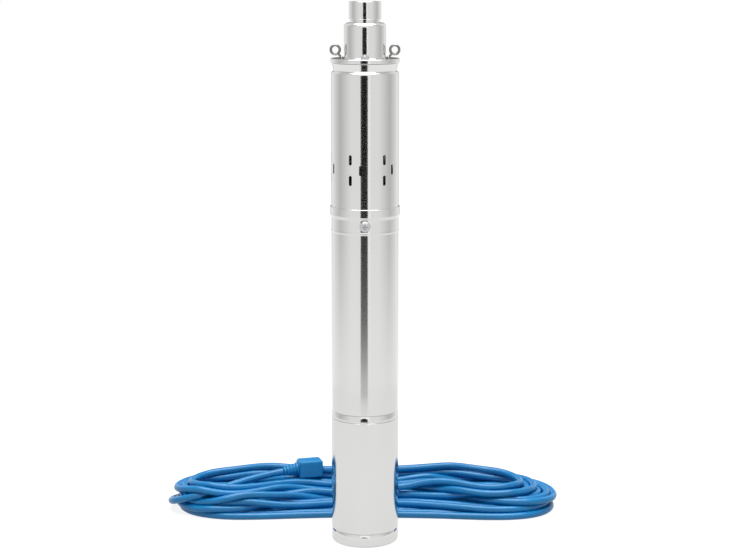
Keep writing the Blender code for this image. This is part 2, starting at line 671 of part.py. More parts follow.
def make_motor_tube():
    """Motor tube with a bead, a flared lip round the barrel's end and the head screws' holes."""
    lip_z = MOTOR_TUBE_TOP - LIP_HEIGHT
    bead = MOTOR_TUBE_TOP - BEAD_BELOW_TOP
    profile = [(LIP_INNER, MOTOR_TUBE_TOP), (LIP_RADIUS - TUBE_EDGE, MOTOR_TUBE_TOP)]
    profile += [(LIP_RADIUS, MOTOR_TUBE_TOP - TUBE_EDGE)]
    profile += [(LIP_RADIUS, lip_z), (MOTOR_TUBE_RADIUS, lip_z - LIP_TAPER)]
    profile += [(MOTOR_TUBE_RADIUS, bead + BEAD_HEIGHT / 2), (MOTOR_TUBE_RADIUS + BEAD_DEPTH, bead)]
    profile += [(MOTOR_TUBE_RADIUS, bead - BEAD_HEIGHT / 2)]
    profile += [(MOTOR_TUBE_RADIUS, MOTOR_TUBE_Z + TUBE_EDGE)]
    profile += [(MOTOR_TUBE_RADIUS - TUBE_EDGE, MOTOR_TUBE_Z)]
    profile += [(MOTOR_TUBE_INNER, MOTOR_TUBE_Z), (MOTOR_TUBE_INNER, FLARE_Z), (LIP_INNER, lip_z)]
    tube = turned("motor_tube", profile, POLISHED)
    reach = MOTOR_TUBE_RADIUS + CUT_MARGIN
    hole = cylinder_cutter(
        "screw_holes", M6_RADIUS + SEAT, -reach, reach, TINY_STEPS, radial_place(HEAD_SCREW_Z)
    )
    bake(cut(tube, hole))


def make_motor_head():
    """Head with the upper bearing's seat, the seal chamber, a dished top and tapped side holes."""
    body = MOTOR_TUBE_INNER - SEAT
    spigot = BARREL_INNER - SEAT
    rim_inner = spigot - HEAD_RIM
    boss = BEARING_BORE + BEARING_BOSS_WALL
    pocket = HEAD_Z + HEAD_POCKET_DEPTH
    profile = [(rim_inner, HEAD_TOP), (spigot, HEAD_TOP), (spigot, BARREL_Z), (body, FLARE_Z)]
    profile += [(body, HEAD_Z)]
    profile += [(body - HEAD_WALL, HEAD_Z), (body - HEAD_WALL, pocket), (boss, pocket)]
    profile += [(boss, HEAD_Z), (BEARING_BORE, HEAD_Z), (BEARING_BORE, SEAL_FLOOR)]
    profile += [(SEAL_CHAMBER_RADIUS, SEAL_FLOOR)]
    profile += [(SEAL_CHAMBER_RADIUS, SEAL_TOP), (SHAFT_PASSAGE_RADIUS, SEAL_TOP)]
    profile += [(SHAFT_PASSAGE_RADIUS, HEAD_TOP - HEAD_DISH)]
    profile += [(SLINGER_RADIUS + SLINGER_ROOM, HEAD_TOP - HEAD_DISH)]
    head = turned("motor_head", profile, CAST)
    holes = []
    for i in range(2):
        holes.append(
            cylinder_cutter(
                f"tapped_hole_{i}", M6_RADIUS + SEAT, MOTOR_TUBE_RADIUS - HEAD_SCREW_LENGTH - TAP_RUN_OUT,
                MOTOR_TUBE_RADIUS + TAP_RUN_OUT, TINY_STEPS, radial_place(HEAD_SCREW_Z, math.pi * i),
            )
        )
    bake(cut(head, *holes))


def screw_profile(under):
    """Pan head and shank, turned about Z with the head's underside at a height."""
    profile = [(0, under + SCREW_HEAD_HEIGHT)]
    for across, share in SCREW_DOME:
        profile.append((across * SCREW_HEAD_RADIUS, under + share * SCREW_HEAD_HEIGHT))
    profile += [(SCREW_HEAD_RADIUS, under), (M6_RADIUS, under)]
    profile += [(M6_RADIUS, under - HEAD_SCREW_LENGTH), (0, under - HEAD_SCREW_LENGTH)]
    return profile


def make_head_screws():
    """The two cross-recess screws, at the front and the back."""
    under = MOTOR_TUBE_RADIUS + SEAT
    screw = turned("head_screw_form", screw_profile(under), STEEL, TINY_STEPS, closed=False)
    for i in range(2):
        shape = bmesh.new()
        size = (RECESS_LENGTH, RECESS_WIDTH) if i else (RECESS_WIDTH, RECESS_LENGTH)
        place = Matrix.Translation((0, 0, under + SCREW_HEAD_HEIGHT))
        bmesh.ops.create_cube(shape, size=1, matrix=place @ Matrix.Diagonal((*size, 2 * RECESS_DEPTH, 1)))
        cut(screw, hide_cutter(mesh_object(f"recess_{i}", shape, STEEL, CUTTERS)))
    form = bake(screw)
    for i, side in enumerate(("front", "rear")):
        copy = link(bpy.data.objects.new(f"head_screw_{side}", form.data), STEEL)
        copy.matrix_world = radial_place(HEAD_SCREW_Z, math.pi * i)
    bpy.data.objects.remove(form)


def race_groove(side, middle, steps=2):
    """Profile points of a ball groove: side 1 cuts the inner race from outside, -1 the outer race."""
    radius = BALL_RADIUS + RACE_GAP
    land = BALL_CIRCLE - side * RACE_LAND
    half = math.degrees(math.acos((BALL_CIRCLE - land) * side / radius))
    if side > 0:
        return arc(BALL_CIRCLE, middle, radius, 180 - half, 180 + half, steps)
    return arc(BALL_CIRCLE, middle, radius, -half, half, steps)


def make_bearing(name, low):
    """Outer race, inner race, and the balls held by their cage, of a deep-groove ball bearing."""
    high = low + BEARING_WIDTH
    middle = (low + high) / 2
    inner_land = BALL_CIRCLE - RACE_LAND
    outer_land = BALL_CIRCLE + RACE_LAND
    inner = [(SHAFT_BORE, high), (inner_land, high), *race_groove(1, middle)]
    inner += [(inner_land, low), (SHAFT_BORE, low)]
    outer = [(outer_land, high), (BEARING_OUTER, high), (BEARING_OUTER, low), (outer_land, low)]
    outer += race_groove(-1, middle)
    bake(turned(f"{name}_inner_race", inner, STEEL, SMALL_STEPS))
    bake(turned(f"{name}_outer_race", outer, STEEL, SMALL_STEPS))
    wall = CAGE_WALL / 2
    half = CAGE_HEIGHT / 2
    ring = ring_profile(BALL_CIRCLE + wall, BALL_CIRCLE - wall, middle - half, middle + half)
    cage = turned(f"{name}_balls", ring, STEEL, 2 * BALL_COUNT)
    for i in range(BALL_COUNT):
        place = about_z(math.tau * i / BALL_COUNT) @ Matrix.Translation((BALL_CIRCLE, 0, middle))
        ball = bmesh.new()
        bmesh.ops.create_uvsphere(ball, u_segments=6, v_segments=4, radius=BALL_RADIUS, matrix=place)
        combine(cage, hide_cutter(mesh_object(f"{name}_ball_{i}", ball, STEEL, CUTTERS)), "UNION")
    bake(cage)


def make_motor():
    """Shaft, rotor and stator of the motor, with the windings' ends."""
    low = LOWER_BEARING_Z
    shaft = disc_profile(SHAFT_RADIUS, low, SHAFT_TOP)
    bake(turned("motor_shaft", shaft, STEEL, SMALL_STEPS, closed=False))
    bake(turned("rotor_core", ring_profile(ROTOR_RADIUS, SHAFT_BORE, CORE_Z, CORE_TOP), IRON, SMALL_STEPS))
    for side, under in (("lower", CORE_Z - SEAT - END_RING_LENGTH), ("upper", CORE_TOP + SEAT)):
        profile = ring_profile(ROTOR_RADIUS - END_RING_STEP, SHAFT_BORE, under, under + END_RING_LENGTH)
        bake(turned(f"rotor_end_ring_{side}", profile, CAST, SMALL_STEPS))
    core = ring_profile(STATOR_CORE_RADIUS, ROTOR_RADIUS + AIR_GAP, CORE_Z, CORE_TOP)
    bake(turned("stator_core", core, IRON))
    make_winding("winding_upper", CORE_TOP + SEAT, 1)
    make_winding("winding_lower", CORE_Z - SEAT, -1)


def make_winding(name, level, way):
    """One end of the stator's winding, rounded on its far side."""
    far = level + way * WINDING_HEIGHT
    round_off = min(WINDING_ROUND, 0.45 * (WINDING_OUTER - WINDING_INNER))
    near = [(WINDING_OUTER, level), (WINDING_INNER, level)]
    top = [(WINDING_INNER, far - way * round_off), (WINDING_INNER + round_off, far)]
    top += [(WINDING_OUTER - round_off, far), (WINDING_OUTER, far - way * round_off)]
    profile = near + top
    bake(turned(name, profile if way < 0 else profile[::-1], COPPER, SMALL_STEPS))


def make_shaft_seal():
    """Mechanical seal in the head's chamber, and the sand slinger above the passage."""
    seat_z = SEAL_TOP - SEAT - SEAL_SEAT_HEIGHT
    face = seat_z - SEAT
    low = face - SEAL_ROTARY_HEIGHT
    nose = SEAL_ROTARY_RADIUS - SEAL_ROTARY_STEP
    shoulder = face - SEAL_ROTARY_STEP
    rotary = [(SHAFT_BORE, face), (nose, face), (nose, shoulder)]
    rotary += [(SEAL_ROTARY_RADIUS, shoulder), (SEAL_ROTARY_RADIUS, low), (SHAFT_BORE, low)]
    bake(turned("seal_rotary", rotary, STEEL, SMALL_STEPS))
    outer = SEAL_CHAMBER_RADIUS - SEAT
    seat = ring_profile(outer, SHAFT_BORE + SEAL_SEAT_CLEARANCE, seat_z, seat_z + SEAL_SEAT_HEIGHT)
    bake(turned("seal_seat", seat, PLASTIC))
    low = HEAD_TOP - HEAD_DISH + SLINGER_CLEARANCE
    high = low + SLINGER_HEIGHT
    slinger = [(SHAFT_BORE, high), (SHAFT_BORE + SLINGER_HUB, high), (SLINGER_RADIUS, low + SLINGER_EDGE)]
    slinger += [(SLINGER_RADIUS, low), (SHAFT_BORE, low)]
    bake(turned("sand_slinger", slinger, RUBBER, SMALL_STEPS))


def make_coupling():
    """Coupling that joins the motor shaft to the flexible shaft."""
    flex_bore = FLEX_RADIUS + RUNNING
    web = SHAFT_TOP + SEAT
    across, down = COUPLING_CHAMFER
    profile = [(flex_bore, COUPLING_TOP), (COUPLING_RADIUS - across, COUPLING_TOP)]
    profile += [(COUPLING_RADIUS, COUPLING_TOP - down)]
    profile += [(COUPLING_RADIUS, COUPLING_Z), (SHAFT_BORE, COUPLING_Z), (SHAFT_BORE, web), (0, web)]
    profile += [(0, web + COUPLING_WEB), (flex_bore, web + COUPLING_WEB)]
    bake(turned("drive_coupling", profile, STEEL, SMALL_STEPS))
    return web + COUPLING_WEB


def poly_tube(name, points, radius, material, resolution=2):
    """A round tube through points, with filled ends."""
    curve = bpy.data.curves.new(name, "CURVE")
    curve.dimensions = "3D"
    curve.bevel_depth = radius
    curve.bevel_resolution = resolution
    curve.use_fill_caps = True
    spline = curve.splines.new("POLY")
    spline.points.add(len(points) - 1)
    for target, point in zip(spline.points, points):
        target.co = (*point, 1)
    item = bpy.data.objects.new(name, curve)
    return bake(link(item, material))


def make_flexible_shaft(low):
    """Flexible shaft: upright in the coupling, bent over to the screw's axis above it."""
    bottom = low + SEAT
    top = SCREW_Z - SCREW_SOCKET_WEB - SEAT
    bend_low = COUPLING_TOP + FLEX_STRAIGHT
    bend_high = SCREW_SHANK_Z - FLEX_STRAIGHT
    points = [(0, 0, bottom)]
    for i in range(FLEX_POINTS):
        share = i / (FLEX_POINTS - 1)
        offset = ECCENTRICITY * (1 - math.cos(math.pi * share)) / 2
        points.append((offset, 0, bend_low + (bend_high - bend_low) * share))
    points.append((ECCENTRICITY, 0, top))
    poly_tube("flexible_shaft", points, FLEX_RADIUS, STEEL)


def helix_turn(height, pitch):
    """Turn of a helix at a height above the pump end's datum."""
    return math.tau * (height - SCREW_Z) / pitch


def close_twisted(shape):
    """Triangulates a twisted sweep along its short diagonals and closes its ends."""
    bmesh.ops.triangulate(shape, faces=shape.faces, quad_method="SHORT_EDGE")
    ends = [edge for edge in shape.edges if len(edge.link_faces) == 1]
    bmesh.ops.holes_fill(shape, edges=ends, sides=0)
    bmesh.ops.recalc_face_normals(shape, faces=shape.faces)


def make_screw_rotor():
    """Single-start screw: a round section whose centre winds about the screw's own axis."""
    turns = SCREW_LENGTH / SCREW_PITCH
    steps = round(turns * SCREW_RINGS_PER_TURN)
    shape = bmesh.new()
    place = Matrix.Translation((ECCENTRICITY, 0, SCREW_Z))
    bmesh.ops.create_circle(shape, cap_ends=False, radius=SCREW_RADIUS, segments=SCREW_SIDES, matrix=place)
    bmesh.ops.spin(
        shape, geom=shape.verts[:] + shape.edges[:], cent=(0, 0, 0), axis=(0, 0, 1),
        dvec=(0, 0, SCREW_LENGTH / steps), angle=math.tau * turns, steps=steps, use_duplicate=False,
    )
    close_twisted(shape)
    rotor = mesh_object("screw_rotor", shape, POLISHED)
    profile = disc_profile(SCREW_RADIUS - SCREW_HEAD_STEP, SCREW_SHANK_Z, SCREW_Z + OVERLAP / 2)
    shank = bake(turned("screw_shank", profile, STEEL, SMALL_STEPS, closed=False, collection=CUTTERS))
    hide_cutter(shank)
    combine(rotor, shank, "UNION")
    bore = cylinder_cutter(
        "screw_socket", FLEX_RADIUS + RUNNING, SCREW_SHANK_Z - CUT_MARGIN, SCREW_Z - SCREW_SOCKET_WEB,
        TINY_STEPS,
    )
    cut(rotor, bore)
    baked = bake(rotor)
    baked.location = (ECCENTRICITY, 0, 0)


def obround_points(half_length, radius, arc_steps):
    """Outline of a slot with round ends, its straight sides along X."""
    points = []
    for end, start in ((1, -90), (-1, 90)):
        for i in range(arc_steps + 1):
            angle = math.radians(start + 180 * i / arc_steps)
            points.append((end * half_length + radius * math.cos(angle), radius * math.sin(angle)))
    return points


def make_stator():
    """Steel tube and its rubber liner, whose slot-shaped cavity twists half as fast as the screw."""
    inner = STATOR_TUBE_RADIUS - STATOR_TUBE_WALL
    bake(turned("stator_tube", ring_profile(STATOR_TUBE_RADIUS, inner, STATOR_Z, STATOR_TOP), STEEL))
    outside = disc_profile(LINER_RADIUS, STATOR_Z + SEAT, STATOR_TOP - SEAT)
    liner = turned("stator_liner", outside, RUBBER, closed=False)
    low = STATOR_Z - OVERLAP
    length = STATOR_TOP - STATOR_Z + 2 * OVERLAP
    pitch = 2 * SCREW_PITCH
    steps = math.ceil(length / pitch * CAVITY_RINGS_PER_TURN)
    shape = bmesh.new()
    arc_steps = SCREW_SIDES // 2
    radius = (SCREW_RADIUS + SCREW_GAP) / math.cos(math.pi / arc_steps / 2)
    outline = obround_points(2 * ECCENTRICITY, radius, arc_steps)
    turn = about_z(helix_turn(low, pitch))
    corners = [shape.verts.new(turn @ Vector((x, y, low))) for x, y in outline]
    edges = [shape.edges.new((corner, corners[i - 1])) for i, corner in enumerate(corners)]
    bmesh.ops.spin(
        shape, geom=corners + edges, cent=(0, 0, 0), axis=(0, 0, 1), dvec=(0, 0, length / steps),
        angle=math.tau * length / pitch, steps=steps, use_duplicate=False,
    )
    close_twisted(shape)
    cavity = hide_cutter(mesh_object("liner_cavity", shape, RUBBER, CUTTERS))
    bake(cut(liner, cavity))


def rolled_top(radius, top):
    """Profile points of the barrel's narrowed top and its groove, from the rim down to a radius."""
    groove_top = BARREL_TOP - GROOVE_BELOW_TOP + GROOVE_HEIGHT / 2
    groove_low = groove_top - GROOVE_HEIGHT
    return [
        (radius - RIM_STEP, top),
        (radius - RIM_STEP - (GROOVE_DEPTH - RIM_STEP) * 0.25, (top + groove_top) / 2),
        (radius - GROOVE_DEPTH, groove_top),
        (radius - GROOVE_DEPTH, groove_low),
        (radius - GROOVE_DEPTH * 0.3, groove_low - GROOVE_SHOULDER * 0.6),
        (radius, groove_low - GROOVE_SHOULDER),
    ]


def make_barrel():
    """Pump barrel with a rolled groove at its top and the intake slots."""
    outside = rolled_top(BARREL_RADIUS, BARREL_TOP)
    inside = rolled_top(BARREL_INNER, BARREL_TOP)
    profile = outside + [(BARREL_RADIUS, BARREL_Z), (BARREL_INNER, BARREL_Z)] + inside[::-1]
    barrel = turned("barrel", profile, POLISHED)
    middle = MOTOR_TUBE_TOP + SLOTS_ABOVE_LIP
    for group in range(SLOT_GROUPS):
        pair = FIRST_PAIR_ANGLE + math.tau * group / SLOT_GROUPS
        slots = (
            ("upper", pair, SLOT_PITCH / 2), ("lower", pair, -SLOT_PITCH / 2),
            ("middle", pair + PAIR_TO_SINGLE_ANGLE, 0),
        )
        for label, angle, rise in slots:
            cut(barrel, slot_cutter(f"slot_{group}_{label}", angle, middle + rise))
    bake(barrel)


def slot_cutter(name, angle, height):
    """An upright slot with round ends, reaching through the barrel's wall."""
    curve = bpy.data.curves.new(name, "CURVE")
    curve.dimensions = "2D"
    curve.fill_mode = "BOTH"
    curve.extrude = 2 * CUT_MARGIN
    spline = curve.splines.new("POLY")
    outline = obround_points((SLOT_HEIGHT - SLOT_WIDTH) / 2, SLOT_WIDTH / 2, 2)
    spline.points.add(len(outline) - 1)
    for target, (x, y) in zip(spline.points, outline):
        target.co = (y, x, 0, 1)
    spline.use_cyclic_u = True
    item = bpy.data.objects.new(name, curve)
    link(item, STEEL, CUTTERS)
    item.matrix_world = radial_place(height, angle) @ Matrix.Translation((0, 0, BARREL_RADIUS))
    return hide_cutter(bake(item))


def make_outlet_head():
    """Head with the flange, the neck, a grooved skirt in the barrel and a boss for the stator."""
    skirt = BARREL_INNER - SEAT
    skirt_low = FLANGE_Z - SKIRT_LENGTH
    plate = FLANGE_Z - PLATE_BELOW_FLANGE
    stator_socket = STATOR_TUBE_RADIUS + SEAT
    boss = stator_socket + BOSS_WALL
    boss_low = FLANGE_Z - BOSS_LENGTH
    seat_bore = VALVE_SEAT_RADIUS + SEAT
    seat_top = VALVE_SEAT_TOP + SEAT
    shoulder = min(SHOULDER_RADIUS, NECK_RADIUS - SPIGOT_HOLE - SHOULDER_LAND)
    profile = [(SPIGOT_HOLE, NECK_TOP)]
    profile += arc(NECK_RADIUS - shoulder, NECK_TOP - shoulder, shoulder, 90, 0, 4)
    profile += arc(NECK_RADIUS + NECK_FILLET, FLANGE_TOP + NECK_FILLET, NECK_FILLET, 180, 270, 3)
    profile += [(FLANGE_RADIUS - FLANGE_EDGE, FLANGE_TOP), (FLANGE_RADIUS, FLANGE_TOP - FLANGE_EDGE)]
    profile += [(FLANGE_RADIUS, FLANGE_Z)]
    profile += rolled_top(skirt, FLANGE_Z)
    profile += [(skirt, skirt_low), (SKIRT_INNER, skirt_low), (SKIRT_INNER, plate), (boss, plate)]
    profile += [(boss, boss_low), (stator_socket, boss_low), (stator_socket, FLANGE_Z)]
    profile += [(seat_bore, FLANGE_Z)]
    profile += [(seat_bore, seat_top), (CHAMBER_RADIUS, seat_top), (CHAMBER_RADIUS, CHAMBER_TOP)]
    profile += [(SPIGOT_HOLE, CHAMBER_TOP)]
    head = turned("outlet_head", profile, POLISHED)
    depth = FLANGE_TOP - SHANK_DEPTH - 2 * SEAT
    above = FLANGE_TOP + CUT_MARGIN
    for label, x, y, radius in (
        ("left_eye", -EYE_FOOT_X, 0, EYE_SHANK_RADIUS),
        ("right_eye", EYE_FOOT_X, 0, EYE_SHANK_RADIUS),
        ("flange_screw", 0, FLANGE_SCREW_Y, M6_RADIUS),
        ("gland", 0, GLAND_Y, GLAND_SHANK_RADIUS),
    ):
        place = Matrix.Translation((x, y, 0))
        cut(head, cylinder_cutter(f"{label}_hole", radius + SEAT, depth, above, TINY_STEPS, place))
    place = Matrix.Translation((0, GLAND_Y, 0))
    radius = LEAD_RADIUS + LEAD_HOLE_ROOM
    low = skirt_low - CUT_MARGIN
    cut(head, cylinder_cutter("lead_hole", radius, low, depth + OVERLAP, TINY_STEPS, place))
    bake(head)


def make_outlet_socket():
    """Threaded outlet collar, an undercut below it and the spigot in the neck."""
    spigot_low = NECK_TOP - SPIGOT_LENGTH
    step = COLLAR_TOP - OUTLET_BORE_DEPTH
    profile = [(OUTLET_BORE + OUTLET_CHAMFER, COLLAR_TOP), (COLLAR_RADIUS - COLLAR_EDGE, COLLAR_TOP)]
    profile += [(COLLAR_RADIUS, COLLAR_TOP - COLLAR_EDGE), (COLLAR_RADIUS, COLLAR_Z)]
    profile += [(UNDERCUT_RADIUS, COLLAR_Z), (UNDERCUT_RADIUS, NECK_TOP + SEAT)]
    profile += [(SPIGOT_RADIUS, NECK_TOP + SEAT), (SPIGOT_RADIUS, spigot_low)]
    profile += [(SPIGOT_BORE, spigot_low), (SPIGOT_BORE, step), (OUTLET_BORE, step + OUTLET_CHAMFER)]
    profile += [(OUTLET_BORE, COLLAR_TOP - OUTLET_CHAMFER)]
    bake(turned("outlet_socket", profile, POLISHED))


def make_eye_bolt(name, side):
    """Eye that leans outwards from a round nut beside the neck; its ring faces the front."""
    base = FLANGE_TOP + SEAT
    foot = Vector((side * EYE_FOOT_X, 0, base))
    ring_centre = Vector((side * EYE_X, 0, FLANGE_TOP + EYE_CENTRE_HEIGHT))
    profile = arc(0, 0, EYE_NUT_RADIUS, 90, 0, 3)
    profile += [(EYE_SHANK_RADIUS, 0), (EYE_SHANK_RADIUS, -SHANK_DEPTH), (0, -SHANK_DEPTH)]
    nut = turned(name, profile, POLISHED, TINY_STEPS, closed=False, at=foot)
    lean = (ring_centre - foot).normalized()
    length = (ring_centre - foot).length - EYE_RING_RADIUS
    place = Matrix.Translation(foot) @ lean.to_track_quat("Z", "Y").to_matrix().to_4x4()
    stem = cylinder_shape(EYE_STEM_RADIUS, EYE_STEM_RADIUS, length, TINY_STEPS, place)
    combine(nut, hide_cutter(mesh_object(f"{name}_stem", stem, POLISHED, CUTTERS)), "UNION")
    bpy.ops.mesh.primitive_torus_add(
        major_segments=14, minor_segments=6, major_radius=EYE_RING_RADIUS, minor_radius=EYE_WIRE_RADIUS,
        location=ring_centre, rotation=(math.pi / 2, 0, 0),
    )
    ring = bpy.context.object
    ring.name = f"{name}_ring"
    for collection in list(ring.users_collection):
        collection.objects.unlink(ring)
    hide_cutter(link(ring, POLISHED, CUTTERS))
    bake(combine(nut, ring, "UNION"))


def make_flange_screw():
    """Hexagon-head screw in the front of the flange."""
    base = FLANGE_TOP + SEAT
    place = Matrix.Translation((0, FLANGE_SCREW_Y, 0))
    hexagon = cylinder_shape(HEX_RADIUS, base, base + HEX_HEIGHT, 6, place)
    screw = mesh_object("flange_screw", hexagon, STEEL)
    bevel = screw.modifiers.new("soften", "BEVEL")
    bevel.width = HEX_EDGE
    bevel.segments = 1
    shank = cylinder_shape(M6_RADIUS, FLANGE_TOP - SHANK_DEPTH, base + OVERLAP, TINY_STEPS, place)
    shank = mesh_object("flange_screw_shank", shank, STEEL, CUTTERS)
    bake(combine(screw, hide_cutter(shank), "UNION"))


def make_cable_gland():
    """Gland at the back of the flange: hexagon, tapered nut and a shank in the flange."""
    base = FLANGE_TOP + SEAT
    place = Matrix.Translation((0, GLAND_Y, 0))
    hexagon = cylinder_shape(GLAND_HEX_RADIUS, base, base + GLAND_HEX_HEIGHT, 6, place)
    gland = mesh_object("cable_gland", hexagon, STEEL)
    top = base + GLAND_HEX_HEIGHT + GLAND_NECK_HEIGHT
    across, down = GLAND_TAPER
    profile = [(0, top), (GLAND_NECK_RADIUS - across, top), (GLAND_NECK_RADIUS, top - down)]
    inside = base + GLAND_HEX_HEIGHT - OVERLAP
    shank_low = FLANGE_TOP - SHANK_DEPTH
    profile += [(GLAND_NECK_RADIUS, inside), (GLAND_SHANK_RADIUS, inside)]
    profile += [(GLAND_SHANK_RADIUS, shank_low), (0, shank_low)]
    body = turned("gland_body", profile, STEEL, TINY_STEPS, False, (0, GLAND_Y, 0), CUTTERS)
    bake(combine(gland, hide_cutter(body), "UNION"))


def make_inner_lead():
    """Insulated cores between the gland and the motor head's rim."""
    top = FLANGE_TOP - SHANK_DEPTH - 2 * SEAT
    low = HEAD_TOP + SEAT
    middle = (top + low) / 2
    route = [(0, GLAND_Y, top), (0, GLAND_Y, top - LEAD_STRAIGHT), (LEAD_BOW, GLAND_Y, middle)]
    route += [(0, GLAND_Y + LEAD_BOW / 2, low + LEAD_STRAIGHT), (0, GLAND_Y + LEAD_BOW / 2, low)]
    poly_tube("inner_lead", smooth_route(route, LEAD_SPACING), LEAD_RADIUS, RUBBER)


def make_check_valve():
    """Seat ring, poppet with its stem, spring and the stem's guide."""
    low = FLANGE_Z + SEAT
    seat = [(VALVE_SEAT_BORE + VALVE_SEAT_CHAMFER, VALVE_SEAT_TOP), (VALVE_SEAT_RADIUS, VALVE_SEAT_TOP)]
    seat += [(VALVE_SEAT_RADIUS, low), (VALVE_SEAT_BORE, low)]
    seat += [(VALVE_SEAT_BORE, VALVE_SEAT_TOP - VALVE_SEAT_CHAMFER)]
    bake(turned("valve_seat", seat, PLASTIC))
    nose = VALVE_SEAT_BORE - POPPET_NOSE_CLEARANCE
    nose_z = POPPET_Z - POPPET_NOSE
    disc_top = POPPET_Z + POPPET_HEIGHT
    stem_top = GUIDE_Z + GUIDE_HEIGHT + STEM_ABOVE_GUIDE
    poppet = [(0, stem_top), (STEM_RADIUS - POPPET_EDGE, stem_top), (STEM_RADIUS, stem_top - POPPET_EDGE)]
    poppet += [(STEM_RADIUS, disc_top), (POPPET_RADIUS - POPPET_EDGE, disc_top)]
    poppet += [(POPPET_RADIUS, disc_top - POPPET_EDGE)]
    poppet += [(POPPET_RADIUS, POPPET_Z), (nose, POPPET_Z), (nose - POPPET_NOSE_TAPER, nose_z), (0, nose_z)]
    bake(turned("valve_poppet", poppet, PLASTIC, SMALL_STEPS, closed=False))
    spring_low = disc_top + SEAT + SPRING_WIRE_RADIUS
    spring_high = GUIDE_Z - SEAT - SPRING_WIRE_RADIUS
    count = SPRING_TURNS * SPRING_POINTS_PER_TURN
    points = []
    for i in range(count + 1):
        angle = math.tau * i / SPRING_POINTS_PER_TURN
        height = spring_low + (spring_high - spring_low) * i / count
        points.append((SPRING_RADIUS * math.cos(angle), SPRING_RADIUS * math.sin(angle), height))
    poly_tube("valve_spring", points, SPRING_WIRE_RADIUS, STEEL, 1)
    make_valve_guide()


def make_valve_guide():
    """Ring with three arms and a hub that guides the stem."""
    top = GUIDE_Z + GUIDE_HEIGHT
    outer = CHAMBER_RADIUS - SEAT
    rim = turned("valve_guide", ring_profile(outer, outer - GUIDE_RIM, GUIDE_Z, top), PLASTIC)
    bore = STEM_RADIUS + RUNNING
    profile = ring_profile(GUIDE_HUB_RADIUS, bore, GUIDE_Z, top)
    hub = turned("guide_hub", profile, PLASTIC, SMALL_STEPS, collection=CUTTERS)
    combine(rim, hide_cutter(bake(hub)), "UNION")
    start = bore + OVERLAP
    end = outer - GUIDE_RIM / 2
    for i in range(3):
        shape = bmesh.new()
        middle = Matrix.Translation(((start + end) / 2, 0, (GUIDE_Z + top) / 2))
        place = about_z(math.tau * i / 3 + math.pi / 2) @ middle
        size = Matrix.Diagonal((end - start, GUIDE_ARM_WIDTH, GUIDE_HEIGHT - 2 * GUIDE_ARM_STEP, 1))
        bmesh.ops.create_cube(shape, size=1, matrix=place @ size)
        combine(rim, hide_cutter(mesh_object(f"guide_arm_{i}", shape, PLASTIC, CUTTERS)), "UNION")
    bake(rim)


def catmull_point(before, start, end, after, share):
    """A point of the smooth curve between two route points."""
    square = share * share
    cube = square * share
    return 0.5 * (
        2 * start + (end - before) * share + (2 * before - 5 * start + 4 * end - after) * square
        + (3 * start - before - 3 * end + after) * cube
    )


def smooth_route(route, spacing):
    """Points about one spacing apart on a smooth curve through the route's own points."""
    points = [Vector(point) for point in route]
    ends = [2 * points[0] - points[1], *points, 2 * points[-1] - points[-2]]
    found = []
    for i in range(1, len(ends) - 2):
        steps = max(2, round((ends[i + 1] - ends[i]).length / spacing))
        for step in range(steps):
            found.append(catmull_point(*ends[i - 1:i + 3], step / steps))
    found.append(points[-1])
    return found


def in_metres(route):
    """A route given in millimetres."""
    return [(x * MM, y * MM, z * MM) for x, y, z in route]


def make_cable():
    """The cable's drop behind the pump, the hank's outer shape and the tail across it."""
    poly_tube("cable_drop", smooth_route(in_metres(DROP_ROUTE), DROP_SPACING), CABLE_RADIUS, BLUE)
    curve = bpy.data.curves.new("cable_hank", "CURVE")
    curve.dimensions = "2D"
    curve.fill_mode = "BOTH"
    curve.extrude = HANK_TOP / 2 - HANK_EDGE
    curve.bevel_depth = HANK_EDGE
    curve.bevel_resolution = 1
    curve.offset = -HANK_EDGE
    radius = (HANK_BACK - HANK_FRONT) / 2
    half = (HANK_RIGHT - HANK_LEFT) / 2 - radius
    outline = obround_points(half, radius, 12)
    spline = curve.splines.new("POLY")
    spline.points.add(len(outline) - 1)
    for target, (x, y) in zip(spline.points, outline):
        target.co = (x, y, 0, 1)
    spline.use_cyclic_u = True
    hank = link(bpy.data.objects.new("cable_hank", curve), BLUE)
    hank.location = ((HANK_LEFT + HANK_RIGHT) / 2, (HANK_FRONT + HANK_BACK) / 2, HANK_TOP / 2)
    bake(hank)
    poly_tube("cable_tail", smooth_route(in_metres(TAIL_ROUTE), TAIL_SPACING), CABLE_RADIUS, BLUE)
    make_plug()


